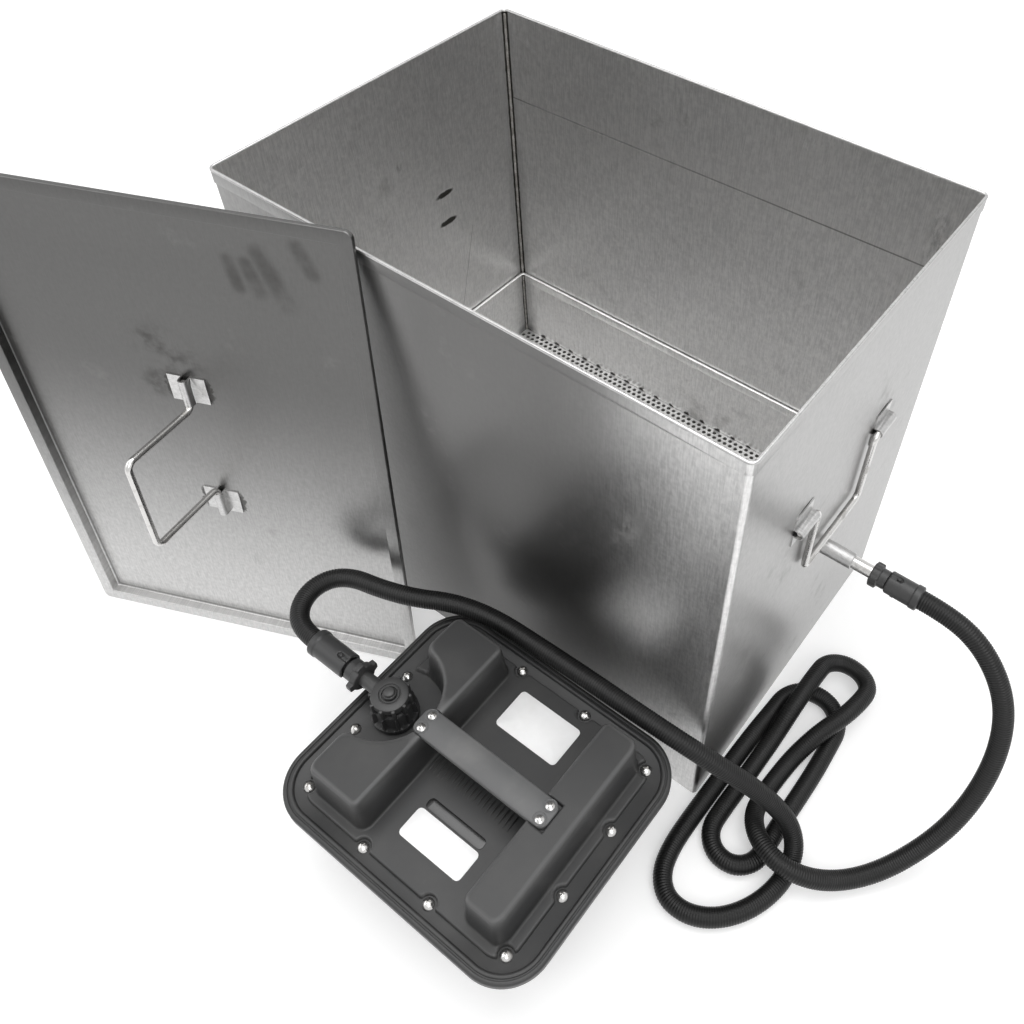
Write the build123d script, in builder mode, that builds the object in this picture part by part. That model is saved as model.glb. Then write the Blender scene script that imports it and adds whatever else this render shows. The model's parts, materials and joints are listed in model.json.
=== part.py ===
from build123d import *
import os
from math import cos, radians, sin, tan

# Steam wax melter: a stainless melting tank with sieve basket and lid, fed by a steam generator through a hose.
# Millimetres, +Z up. The origin is the middle of the tank's base, on the floor. +X runs along the tank's long
# side towards the steam inlet, and the tank's front wall faces -Y.

os.makedirs("parts", exist_ok=True)

# Melting tank: walls bent from one sheet, hem folded outwards at the rim
tank_length = 498.0
tank_width = 348.0
tank_height = 485.0
tank_corner = 5.0
sheet = 1.0
rim_hem = 1.0
rim_hem_height = 12.0
floor_sheet = 1.5

# Wax outlet, low in the left wall
outlet_radius = 11.0
outlet_bore = 9.0
outlet_lead_radius = 10.0
outlet_lead = 3.0
outlet_lift = 1.0
outlet_reach = 60.0

# Steam inlet in the right wall
inlet_height = 214.0
stub_radius = 7.5
stub_reach = 32.0
nipple_radius = 6.0
nipple_reach = 65.5
inlet_bore = 4.0
weld_collar_radius = 11.0
weld_collar_thickness = 2.5

# Sieve basket and the rails that carry it
basket_gap = 2.5
basket_base_height = 75.0
basket_depth = 90.0
basket_hem = 0.8
basket_hem_height = 9.0
basket_flange = 12.0
sieve_sheet = 1.0
sieve_fit = 0.3
sieve_hole_radius = 5.0
sieve_hole_sides = 6
sieve_pitch = 60.0
sieve_margin = 26.0
rail_length = 440.0
rail_leg = 20.0
rail_ledge = 14.0
rail_sheet = 1.5

# Bail handles: a bent rod in two saddles
handle_height = 316.0
rod_radius = 3.0
rod_fit = 0.08
rod_stand_off = 5.0
bail_half_width = 48.0
bail_arm = 78.0
bail_bend = 3.5
rod_end_reach = 78.0
saddle_start = 53.0
saddle_length = 27.0
saddle_sheet = 1.2
saddle_flange = 13.0

# Lid: recessed pan with a lip round its edge, leaning on the tank's front rim
lid_length = 506.0
lid_width = 356.0
lid_corner = 6.0
lid_flange = 12.0
lid_recess = 10.0
lid_lip = 4.0
lid_corner_x = -56.7
lid_yaw = 23.6
lid_tilt = 6.6
lean_gap = 0.5
lid_bail_swing = 98.6

# Steam generator: water tank, seal, element plate and moulded cover
gen_x = 115.0
gen_gap = 22.0
gen_length = 272.0
gen_width = 234.0
gen_corner = 42.0
foot_height = 6.0
foot_radius = 10.0
foot_inset = 34.0
water_length = 226.0
water_width = 184.0
water_corner = 40.0
water_height = 96.0
water_wall = 3.0
water_draft = 3.0
water_flange = 5.0
flange_step_in = 5.0
gasket_thickness = 2.0
gasket_width = 2.5
plate_thickness = 1.5
cover_flange = 6.0
cover_wall = 3.0
lip_width = 9.0
lip_rise = 3.0
lip_chamfer = 2.0
deck_length = 228.0
deck_width = 198.0
deck_corner = 20.0
deck_rise = 4.0
hollow_inset = 16.0
block_height = 47.0
block_draft = 4.0
block_round = 4.0
block_corner = 9.0
left_block_start = -103.0
left_block_end = -42.0
right_block_start = 64.0
right_block_end = 104.0
block_length = 182.0
screw_spans = ((216.4, 180.0), (72.0, 196.4), (230.6, 63.0))
screw_radius = 2.0
screw_fit = 0.2
screw_head_radius = 5.0
screw_head_height = 4.0
screw_head_chamfer = 1.6
screw_sides = 8
screw_pocket = 6.5
rib_count = 20
rib_pitch = 4.8
rib_width = 1.4
rib_length = 14.0
rib_rise = 1.6
rib_place = (3.0, -13.0)
label_depth = 0.5
label_size = (67.0, 40.0)
label_place = (11.5, 63.5)
rating_size = (66.5, 28.0)
rating_place = (11.5, -60.5)
panel_size = (62.0, 11.0)
panel_place = (11.5, -40.5)
ear_reach = 20.0
ear_width = 34.0
ear_depth = 21.0
ear_slot_length = 22.0
ear_slot_height = 9.0
ear_offset = -20.0

# Carrying strap over the valley between the blocks
strap_start = -58.0
strap_end = 83.0
strap_width = 25.0
strap_thickness = 5.0
strap_offset = -2.0
strap_chamfer = 1.0
strap_pocket_fit = 0.6
strap_recess = 1.5
strap_screw_inset = 7.5
strap_screw_span = 13.0
strap_screw_grip = 11.0
strap_head_radius = 4.5
strap_head_height = 3.0
strap_head_chamfer = 1.2

# Filler cap, steam elbow and relief valve
cap_x = -98.0
notch_radius = 43.0
neck_radius = 11.0
neck_bore = 8.5
neck_height = 20.0
neck_fit = 0.2
thread_radius = 14.2
thread_clear = 2.0
thread_height = 9.0
ring_fit = 0.1
ring_rim_radius = 21.0
ring_rim_height = 5.0
ring_body_radius = 16.5
ring_clear = 2.5
ring_lip = 2.2
ring_rib_count = 10
ring_rib_width = 3.0
ring_rib_reach = 20.4
ring_rib_root = 14.8
elbow_flange_radius = 14.0
elbow_flange_height = 4.0
elbow_barrel_radius = 12.0
disc_radius = 15.5
disc_thickness = 7.0
disc_chamfer = 1.0
cap_height = 36.0
steam_pipe_radius = 7.0
steam_pipe_bore = 4.5
steam_pipe_clear = 0.5
steam_pipe_reach = 46.0
swivel_gap = 0.3
button_radius = 4.2
button_top_radius = 3.0
button_height = 6.0
button_lift = 0.4
button_recess_radius = 7.0
button_recess_depth = 2.0
stem_radius = 2.0
stem_fit = 0.06
valve_radius = 3.4
valve_chamber_radius = 3.9
valve_chamber_depth = 11.0
valve_thickness = 2.0
spring_wire = 0.8
spring_radius = 2.9
spring_turns = 3

# Heater and thermostat
heater_radius = 4.0
heater_half_width = 26.0
heater_bend = 20.0
heater_height = 24.0
heater_leg = 80.0
heater_far_end = -74.0
heater_top = 14.0
thermostat_radius = 11.0
thermostat_height = 8.0
thermostat_place = (-70.0, 62.0)

# Hose ends: union nuts and cuffs
gen_nut_start = 32.0
gen_nut_length = 16.0
gen_nut_radius = 12.5
gen_nut_tab_reach = 16.0
gen_nut_tab_width = 7.0
gen_nut_tabs = 4
gen_cuff_length = 42.0
gen_cuff_radius = 12.0
cuff_neck_radius = 6.5
cuff_neck_length = 4.0
cuff_chamfer = 1.2
inlet_nut_length = 15.0
inlet_nut_radius = 10.0
inlet_nut_rib_reach = 11.0
inlet_nut_rib_width = 2.0
inlet_nut_ribs = 12
inlet_cuff_length = 30.5
inlet_cuff_radius = 10.5

# Steam hose: its feed leaves the generator, its return ends in the inlet, a loose hank lies between them
hose_radius = 9.0
feed_route = (
    (-98.0, -314.0, 139.5),
    (-119.0, -296.0, 140.3),
    (-119.0, -266.0, 141.7),
    (-98.0, -248.0, 142.5),
    (-62.0, -240.0, 142.0),
    (-18.0, -217.0, 140.5),
    (40.0, -199.0, 138.0),
    (136.0, -195.0, 133.5),
    (226.0, -192.0, 128.0),
    (286.0, -175.0, 94.0),
    (330.0, -150.0, 40.0),
    (350.0, -153.0, 15.0),
)
return_route = (
    (378.0, 0.0, 214.0),
    (430.0, -10.0, 190.0),
    (457.0, -34.0, 130.0),
    (458.0, -80.0, 62.0),
    (432.0, -126.0, 20.0),
    (392.0, -155.0, 12.0),
    (348.0, -170.0, 28.5),
)
hank_place = (309.0, -121.0)
hank_length = 322.0
hank_width = 96.0
hank_band = 42.0
hank_height = 37.0
hank_turn = -6.0
hank_chamfer = 7.0

# Sizes that follow from the ones above
inner_length = tank_length - 2 * sheet
inner_width = tank_width - 2 * sheet
inner_corner = tank_corner - sheet
rim_half_width = tank_width / 2 + rim_hem
left_wall = Plane((-tank_length / 2, 0, 0), x_dir=(0, -1, 0), z_dir=(-1, 0, 0))
right_wall = Plane((tank_length / 2, 0, 0), x_dir=(0, 1, 0), z_dir=(1, 0, 0))
outlet_height = outlet_radius + outlet_lift


def save(part: Part, name: str) -> None:
    """Label a finished piece and write it under that name."""
    part.label = name
    export_step(part, f"parts/{name}.step")


def bent_bar(corners: list, bend: float) -> list:
    """A bar's path with two mitres in place of each corner, the bend's length along the runs on either side."""
    points = [Vector(*corner) for corner in corners]
    path = [points[0]]
    for before, corner, after in zip(points, points[1:], points[2:]):
        path.append(corner + (before - corner).normalized() * bend)
        path.append(corner + (after - corner).normalized() * bend)
    return [tuple(point) for point in [*path, points[-1]]]


# Tank
with BuildPart() as tank_wrap:
    with BuildSketch():
        RectangleRounded(tank_length, tank_width, tank_corner)
        RectangleRounded(inner_length, inner_width, inner_corner, mode=Mode.SUBTRACT)
    extrude(amount=tank_height)
    with BuildSketch(Plane.XY.offset(tank_height - rim_hem_height)):
        RectangleRounded(tank_length + 2 * rim_hem, tank_width + 2 * rim_hem, tank_corner + rim_hem)
        RectangleRounded(tank_length, tank_width, tank_corner, mode=Mode.SUBTRACT)
    extrude(amount=rim_hem_height)
    with BuildSketch(left_wall):
        with Locations((0, outlet_height)):
            Circle(outlet_radius)
    extrude(amount=-2 * sheet, mode=Mode.SUBTRACT)
    with BuildSketch(right_wall):
        with Locations((0, inlet_height)):
            Circle(stub_radius)
    extrude(amount=-2 * sheet, mode=Mode.SUBTRACT)
save(tank_wrap.part, "tank_wrap")

with BuildPart() as tank_floor:
    with BuildSketch():
        RectangleRounded(inner_length, inner_width, inner_corner)
    extrude(amount=floor_sheet)
save(tank_floor.part, "tank_floor")

with BuildPart() as wax_outlet_spout:
    with BuildSketch(left_wall.offset(-sheet)):
        with Locations((0, outlet_height)):
            Circle(outlet_radius)
            Circle(outlet_bore, mode=Mode.SUBTRACT)
    extrude(amount=sheet + outlet_reach)
    with BuildSketch(left_wall.offset(-sheet)):
        with Locations((0, outlet_height)):
            Circle(outlet_lead_radius)
    extrude(amount=outlet_lead, mode=Mode.SUBTRACT)
save(wax_outlet_spout.part, "wax_outlet_spout")

with BuildPart() as steam_inlet_pipe:
    with BuildSketch(right_wall.offset(-sheet)):
        with Locations((0, inlet_height)):
            Circle(stub_radius)
    extrude(amount=sheet + stub_reach)
    with BuildSketch(right_wall):
        with Locations((0, inlet_height)):
            Circle(weld_collar_radius)
    extrude(amount=weld_collar_thickness)
    with BuildSketch(right_wall.offset(stub_reach)):
        with Locations((0, inlet_height)):
            Circle(nipple_radius)
    extrude(amount=nipple_reach - stub_reach)
    with BuildSketch(right_wall.offset(-sheet)):
        with Locations((0, inlet_height)):
            Circle(inlet_bore)
    extrude(amount=sheet + nipple_reach, mode=Mode.SUBTRACT)
save(steam_inlet_pipe.part, "steam_inlet_pipe")

with BuildPart() as basket_rails:
    with BuildSketch(Plane.YZ):
        with Locations((-inner_width / 2, basket_base_height)):
            Rectangle(rail_sheet, rail_leg, align=(Align.MIN, Align.MAX))
            Rectangle(rail_ledge, rail_sheet, align=(Align.MIN, Align.MAX))
    extrude(amount=rail_length / 2, both=True)
    mirror(about=Plane.XZ)
save(basket_rails.part, "basket_rails")

# Sieve basket
basket_length = inner_length - 2 * basket_gap
basket_width = inner_width - 2 * basket_gap
basket_corner = inner_corner
basket_inner_length = basket_length - 2 * sheet
basket_inner_width = basket_width - 2 * sheet
basket_inner_corner = basket_corner - sheet
with BuildPart() as sieve_basket:
    with BuildSketch(Plane.XY.offset(basket_base_height)):
        RectangleRounded(basket_length, basket_width, basket_corner)
        RectangleRounded(basket_inner_length, basket_inner_width, basket_inner_corner, mode=Mode.SUBTRACT)
    extrude(amount=basket_depth)
    with BuildSketch(Plane.XY.offset(basket_base_height + basket_depth - basket_hem_height)):
        RectangleRounded(basket_inner_length, basket_inner_width, basket_inner_corner)
        RectangleRounded(
            basket_inner_length - 2 * basket_hem,
            basket_inner_width - 2 * basket_hem,
            basket_inner_corner - basket_hem,
            mode=Mode.SUBTRACT,
        )
    extrude(amount=basket_hem_height)
    with BuildSketch(Plane.XY.offset(basket_base_height)):
        RectangleRounded(basket_inner_length, basket_inner_width, basket_inner_corner)
        Rectangle(
            basket_inner_length - 2 * basket_flange, basket_inner_width - 2 * basket_flange, mode=Mode.SUBTRACT
        )
    extrude(amount=sheet)
save(sieve_basket.part, "sieve_basket")

sieve_length = basket_inner_length - 2 * sieve_fit
sieve_width = basket_inner_width - 2 * sieve_fit
sieve_columns = int((sieve_length - 2 * sieve_margin) / sieve_pitch) + 1
sieve_rows = int((sieve_width - 2 * sieve_margin) / sieve_pitch) + 1
# Its holes are fewer and larger than the fine perforation of the real plate
with BuildPart() as sieve_plate:
    with BuildSketch(Plane.XY.offset(basket_base_height + sheet)):
        RectangleRounded(sieve_length, sieve_width, basket_inner_corner)
        with GridLocations(sieve_pitch, sieve_pitch, sieve_columns, sieve_rows):
            RegularPolygon(sieve_hole_radius, sieve_hole_sides, mode=Mode.SUBTRACT)
        with GridLocations(sieve_pitch, sieve_pitch, sieve_columns - 1, sieve_rows - 1):
            RegularPolygon(sieve_hole_radius, sieve_hole_sides, mode=Mode.SUBTRACT)
    extrude(amount=sieve_sheet)
save(sieve_plate.part, "sieve_plate")


# Bail handles
def handle_brackets(base: Plane) -> Part:
    """Two saddles welded to the base plane, with the hinge along its x axis."""
    arch = rod_radius + rod_fit
    with BuildPart() as brackets:
        for start in (saddle_start, -saddle_start - saddle_length):
            section = Plane(base.from_local_coords((start, 0, 0)), x_dir=base.y_dir, z_dir=base.x_dir)
            with BuildSketch(section):
                Rectangle(
                    2 * (arch + saddle_sheet + saddle_flange), saddle_sheet, align=(Align.CENTER, Align.MIN)
                )
                Rectangle(2 * (arch + saddle_sheet), rod_stand_off, align=(Align.CENTER, Align.MIN))
                with Locations((0, rod_stand_off)):
                    Circle(arch + saddle_sheet)
                Rectangle(2 * arch, rod_stand_off, align=(Align.CENTER, Align.MIN), mode=Mode.SUBTRACT)
                with Locations((0, rod_stand_off)):
                    Circle(arch, mode=Mode.SUBTRACT)
            extrude(amount=saddle_length)
    return brackets.part


def bail_handle(base: Plane, swing: float) -> Part:
    """A bent rod hinged along the base plane's x axis, swung outwards by degrees from hanging along -y."""
    outwards = base.z_dir.rotate(Axis(base.origin, base.x_dir), -swing)
    hinge = Plane(base.offset(rod_stand_off).origin, x_dir=base.x_dir, z_dir=outwards)
    with BuildPart() as bail:
        with BuildLine(hinge):
            corners = [
                (rod_end_reach, 0, 0),
                (bail_half_width, 0, 0),
                (bail_half_width, -bail_arm, 0),
                (-bail_half_width, -bail_arm, 0),
                (-bail_half_width, 0, 0),
                (-rod_end_reach, 0, 0),
            ]
            rod = Polyline(*bent_bar(corners, bail_bend))
        with BuildSketch(Plane(rod @ 0, z_dir=rod % 0)):
            Circle(rod_radius)
        sweep(transition=Transition.RIGHT)
    return bail.part


right_handle = Plane(
    right_wall.from_local_coords((0, handle_height, 0)), x_dir=right_wall.x_dir, z_dir=right_wall.z_dir
)
left_handle = Plane(
    left_wall.from_local_coords((0, handle_height, 0)), x_dir=left_wall.x_dir, z_dir=left_wall.z_dir
)
save(handle_brackets(right_handle), "right_handle_brackets")
save(bail_handle(right_handle, 0), "right_bail")
save(handle_brackets(left_handle), "left_handle_brackets")
save(bail_handle(left_handle, 0), "left_bail")

# Lid, leaning on the front rim: its plane has x to the right, y up along the lid and z out of its top side
yaw = radians(lid_yaw)
tilt = radians(lid_tilt)
lid_across = Vector(cos(yaw), sin(yaw), 0)
lid_up = Vector(-sin(yaw) * sin(tilt), cos(yaw) * sin(tilt), cos(tilt))
recess_back = (lid_recess + sheet) * cos(yaw) * cos(tilt) - (lid_flange - sheet) * sin(yaw)
lip_back = lid_lip * cos(yaw) * cos(tilt)
recess_top = (lid_length - lid_flange + sheet) * cos(tilt) - (lid_recess + sheet - lid_lip) * sin(tilt)
lean = tan(tilt) * cos(yaw)
hem_foot = tank_height - rim_hem_height

# The lid meets the tank where the first of its recess and its lip reaches the hem or the wall below it
lean_reaches = []
for back, top in ((recess_back, recess_top), (lip_back, lid_length * cos(tilt))):
    lean_reaches.append(back + min(top, hem_foot) * lean - rim_hem)
    if top > hem_foot:
        lean_reaches.append(back + min(top, tank_height) * lean)
lid_corner_y = -rim_half_width - lean_gap - max(lean_reaches)
lid_corner_place = Vector(lid_corner_x, lid_corner_y, lid_lip * sin(tilt))
lid_middle = lid_corner_place - lid_across * (lid_width / 2) + lid_up * (lid_length / 2)
lid = Plane(lid_middle, x_dir=lid_across, z_dir=lid_across.cross(lid_up))
recess_width = lid_width - 2 * lid_flange
recess_length = lid_length - 2 * lid_flange
with BuildPart() as lid_panel:
    with BuildSketch(lid.offset(-sheet)):
        RectangleRounded(lid_width, lid_length, lid_corner)
        RectangleRounded(recess_width, recess_length, lid_corner, mode=Mode.SUBTRACT)
    extrude(amount=sheet)
    with BuildSketch(lid.offset(-lid_lip)):
        RectangleRounded(lid_width, lid_length, lid_corner)
        RectangleRounded(lid_width - 2 * sheet, lid_length - 2 * sheet, lid_corner - sheet, mode=Mode.SUBTRACT)
    extrude(amount=lid_lip)
    with BuildSketch(lid.offset(-lid_recess)):
        RectangleRounded(recess_width + 2 * sheet, recess_length + 2 * sheet, lid_corner + sheet)
        RectangleRounded(recess_width, recess_length, lid_corner, mode=Mode.SUBTRACT)
    extrude(amount=lid_recess)
    with BuildSketch(lid.offset(-lid_recess - sheet)):
        RectangleRounded(recess_width + 2 * sheet, recess_length + 2 * sheet, lid_corner + sheet)
    extrude(amount=sheet)
save(lid_panel.part, "lid_panel")

lid_handle = Plane(lid.from_local_coords((0, 0, -lid_recess)), x_dir=lid.y_dir, z_dir=lid.z_dir)
save(handle_brackets(lid_handle), "lid_handle_brackets")
save(bail_handle(lid_handle, lid_bail_swing), "lid_bail")

# Steam generator
gen_y = -rim_half_width - gen_gap - gen_width / 2
gen = Plane((gen_x, gen_y, 0))
water_top = foot_height + water_height
plate_base = water_top + gasket_thickness
cover_base = plate_base + plate_thickness
land = cover_base + cover_flange
deck = land + deck_rise
block_top = land + block_height
screw_places = [
    (side_x * span_x / 2, side_y * span_y / 2)
    for span_x, span_y in screw_spans
    for side_x in (-1, 1)
    for side_y in (-1, 1)
]
seat_length = gen_length - 2 * flange_step_in
seat_width = gen_width - 2 * flange_step_in
seat_corner = gen_corner - flange_step_in
tub_length = water_length - 2 * water_wall
tub_width = water_width - 2 * water_wall
tub_corner = water_corner - water_wall
seal_length = tub_length + 2 * gasket_width
seal_width = tub_width + 2 * gasket_width
seal_corner = tub_corner + gasket_width
heater_legs = [(heater_leg, side * heater_half_width) for side in (-1, 1)]

with BuildPart() as generator_feet:
    with BuildSketch(gen):
        with GridLocations(water_length - 2 * foot_inset, water_width - 2 * foot_inset, 2, 2):
            Circle(foot_radius)
    extrude(amount=foot_height)
save(generator_feet.part, "generator_feet")

with BuildPart() as generator_tank:
    with BuildSketch(gen.offset(water_top)):
        RectangleRounded(water_length, water_width, water_corner)
    extrude(amount=-water_height, taper=water_draft)
    with BuildSketch(gen.offset(water_top - water_flange)):
        RectangleRounded(seat_length, seat_width, seat_corner)
    extrude(amount=water_flange)
    with BuildSketch(gen.offset(water_top - water_flange)):
        with Locations((water_length / 2 - water_wall, ear_offset)):
            Rectangle(ear_reach, ear_width, align=(Align.MIN, Align.CENTER))
    extrude(amount=-ear_depth)
    ear_face = Plane(
        gen.from_local_coords((water_length / 2, ear_offset, water_top - water_flange - ear_depth / 2)),
        x_dir=(0, 1, 0),
        z_dir=(1, 0, 0),
    )
    with BuildSketch(ear_face):
        SlotOverall(ear_slot_length, ear_slot_height)
    extrude(amount=ear_reach, mode=Mode.SUBTRACT)
    with BuildSketch(gen.offset(water_top)):
        RectangleRounded(tub_length, tub_width, tub_corner)
    extrude(amount=water_wall - water_height, taper=water_draft, mode=Mode.SUBTRACT)
    with BuildSketch(gen.offset(water_top)):
        with Locations(*screw_places):
            RegularPolygon(screw_radius + screw_fit, screw_sides)
    extrude(amount=-water_flange, mode=Mode.SUBTRACT)
save(generator_tank.part, "generator_tank")

with BuildPart() as cover_gasket:
    with BuildSketch(gen.offset(water_top)):
        RectangleRounded(seal_length, seal_width, seal_corner)
        RectangleRounded(tub_length, tub_width, tub_corner, mode=Mode.SUBTRACT)
    extrude(amount=gasket_thickness)
save(cover_gasket.part, "cover_gasket")

with BuildPart() as element_plate:
    with BuildSketch(gen.offset(plate_base)):
        RectangleRounded(seal_length, seal_width, seal_corner)
        with Locations((cap_x, 0)):
            Circle(neck_bore, mode=Mode.SUBTRACT)
        with Locations(*heater_legs):
            Circle(heater_radius, mode=Mode.SUBTRACT)
    extrude(amount=plate_thickness)
save(element_plate.part, "element_plate")

with BuildPart() as heating_element:
    with BuildLine(gen):
        element_corners = [
            (heater_leg, heater_half_width, cover_base + heater_top),
            (heater_leg, heater_half_width, heater_height),
            (heater_far_end, heater_half_width, heater_height),
            (heater_far_end, -heater_half_width, heater_height),
            (heater_leg, -heater_half_width, heater_height),
            (heater_leg, -heater_half_width, cover_base + heater_top),
        ]
        element_path = Polyline(*bent_bar(element_corners, heater_bend))
    with BuildSketch(Plane(element_path @ 0, z_dir=element_path % 0)):
        Circle(heater_radius)
    sweep(transition=Transition.RIGHT)
save(heating_element.part, "heating_element")

with BuildPart() as thermostat:
    with BuildSketch(gen.offset(cover_base)):
        with Locations(thermostat_place):
            Circle(thermostat_radius)
    extrude(amount=thermostat_height)
save(thermostat.part, "thermostat")

# Cover: flange, raised deck, two drafted blocks, notch for the cap, outer lip, then the hollow inside
blocks = ((left_block_start, left_block_end), (right_block_start, right_block_end))
strap_places = [
    (place, strap_offset + side * strap_screw_span / 2)
    for place in (strap_start + strap_screw_inset, strap_end - strap_screw_inset)
    for side in (-1, 1)
]
strap_middle = ((strap_start + strap_end) / 2, strap_offset)
strap_length = strap_end - strap_start
with BuildPart() as generator_cover:
    with BuildSketch(gen.offset(cover_base)):
        RectangleRounded(gen_length, gen_width, gen_corner)
    extrude(amount=cover_flange)
    with BuildSketch(gen.offset(land)):
        RectangleRounded(deck_length, deck_width, deck_corner)
    extrude(amount=deck_rise)
    for start, end in blocks:
        with BuildSketch(gen.offset(land)):
            with Locations(((start + end) / 2, 0)):
                RectangleRounded(end - start, block_length, block_corner)
        extrude(amount=block_height, taper=block_draft)
    fillet(generator_cover.faces().sort_by(Axis.Z)[-2:].edges(), radius=block_round)
    with BuildSketch(gen.offset(land)):
        with Locations((cap_x, 0)):
            Circle(notch_radius)
        with Locations(*screw_places):
            RegularPolygon(screw_pocket, screw_sides)
    extrude(amount=block_height, mode=Mode.SUBTRACT)
    with BuildSketch(gen.offset(block_top)):
        with Locations(strap_middle):
            Rectangle(strap_length + 2 * strap_pocket_fit, strap_width + 2 * strap_pocket_fit)
    extrude(amount=-strap_thickness, mode=Mode.SUBTRACT)
    with BuildSketch(gen.offset(land)):
        RectangleRounded(gen_length, gen_width, gen_corner)
        RectangleRounded(
            gen_length - 2 * lip_width, gen_width - 2 * lip_width, gen_corner - lip_width, mode=Mode.SUBTRACT
        )
    extrude(amount=lip_rise)
    lip_top = land + lip_rise
    chamfer(generator_cover.edges().filter_by_position(Axis.Z, lip_top, lip_top), lip_chamfer)
    with BuildSketch(gen.offset(deck)):
        with Locations(rib_place):
            with GridLocations(rib_pitch, rib_length, rib_count, 1):
                Rectangle(rib_width, rib_length)
    extrude(amount=rib_rise)
    with BuildSketch(gen.offset(deck)):
        with Locations(label_place):
            Rectangle(*label_size)
        with Locations(rating_place):
            Rectangle(*rating_size)
        with Locations(panel_place):
            Rectangle(*panel_size)
    extrude(amount=-label_depth, mode=Mode.SUBTRACT)
    with BuildSketch(gen.offset(cover_base)):
        RectangleRounded(deck_length - 2 * hollow_inset, deck_width - 2 * hollow_inset, deck_corner)
        with Locations((cap_x, 0)):
            Circle(notch_radius + cover_wall, mode=Mode.SUBTRACT)
    extrude(amount=deck - cover_wall - cover_base, mode=Mode.SUBTRACT)
    with BuildSketch(gen.offset(cover_base)):
        for start, end in blocks:
            with Locations(((start + end) / 2, 0)):
                RectangleRounded(
                    end - start - 4 * cover_wall, block_length - 4 * cover_wall, block_corner - cover_wall
                )
        with Locations((cap_x, 0)):
            Circle(notch_radius + cover_wall, mode=Mode.SUBTRACT)
        with Locations(strap_middle):
            Rectangle(strap_length + 2 * cover_wall, strap_width + 2 * cover_wall, mode=Mode.SUBTRACT)
    extrude(amount=block_top - cover_wall - cover_base, mode=Mode.SUBTRACT)
    with BuildSketch(gen.offset(cover_base)):
        with Locations(*screw_places):
            RegularPolygon(screw_radius + screw_fit, screw_sides)
        with Locations((cap_x, 0)):
            Circle(neck_radius + neck_fit)
        with Locations(*heater_legs):
            Circle(heater_radius + screw_fit)
    extrude(amount=cover_flange, mode=Mode.SUBTRACT)
    with BuildSketch(gen.offset(block_top - strap_thickness)):
        with Locations(*strap_places):
            RegularPolygon(screw_radius + screw_fit, screw_sides)
    extrude(amount=-strap_screw_grip, mode=Mode.SUBTRACT)
save(generator_cover.part, "generator_cover")

with BuildPart() as flange_screws:
    with BuildSketch(gen.offset(water_top - water_flange)):
        with Locations(*screw_places):
            RegularPolygon(screw_radius, screw_sides)
    extrude(amount=land - water_top + water_flange)
    with BuildSketch(gen.offset(land)):
        with Locations(*screw_places):
            RegularPolygon(screw_head_radius, screw_sides)
    extrude(amount=screw_head_height)
    chamfer(flange_screws.edges().group_by(Axis.Z)[-1], screw_head_chamfer)
save(flange_screws.part, "flange_screws")

with BuildPart() as carry_strap:
    with BuildSketch(gen.offset(block_top - strap_thickness)):
        with Locations(strap_middle):
            RectangleRounded(strap_length, strap_width, block_corner)
        with Locations(*strap_places):
            RegularPolygon(screw_radius + screw_fit, screw_sides, mode=Mode.SUBTRACT)
    extrude(amount=strap_thickness)
    chamfer(carry_strap.faces().sort_by(Axis.Z)[-1].outer_wire().edges(), strap_chamfer)
    with BuildSketch(gen.offset(block_top)):
        with Locations(*strap_places):
            RegularPolygon(strap_head_radius + strap_pocket_fit, screw_sides)
    extrude(amount=-strap_recess, mode=Mode.SUBTRACT)
save(carry_strap.part, "carry_strap")

strap_seat = block_top - strap_recess
with BuildPart() as strap_screws:
    with BuildSketch(gen.offset(block_top - strap_thickness - strap_screw_grip)):
        with Locations(*strap_places):
            RegularPolygon(screw_radius, screw_sides)
    extrude(amount=strap_screw_grip + strap_thickness - strap_recess)
    with BuildSketch(gen.offset(strap_seat)):
        with Locations(*strap_places):
            RegularPolygon(strap_head_radius, screw_sides)
    extrude(amount=strap_head_height)
    chamfer(strap_screws.edges().group_by(Axis.Z)[-1], strap_head_chamfer)
save(strap_screws.part, "strap_screws")

# Filler cap, turned about a vertical axis at the notch
cap = Plane(gen.from_local_coords((cap_x, 0, 0)))
cap_section = Plane(cap.origin, x_dir=(1, 0, 0), z_dir=(0, -1, 0))
cap_axis = Axis(cap.origin, (0, 0, 1))
neck_top = cover_base + neck_height
thread_base = land + thread_clear
elbow_flange_top = neck_top + elbow_flange_height
ring_base = land + ring_clear
ring_shoulder = elbow_flange_top + swivel_gap
ring_top = ring_shoulder + ring_lip
cap_top = land + cap_height
disc_base = cap_top - disc_thickness
pipe_height = ring_top + steam_pipe_clear + steam_pipe_radius

with BuildPart() as filler_neck:
    with BuildSketch(cap.offset(cover_base)):
        Circle(neck_radius)
    extrude(amount=neck_height)
    with BuildSketch(cap.offset(thread_base)):
        Circle(thread_radius)
    extrude(amount=thread_height)
    with BuildSketch(cap.offset(cover_base)):
        Circle(neck_bore)
    extrude(amount=neck_height, mode=Mode.SUBTRACT)
save(filler_neck.part, "filler_neck")

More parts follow.
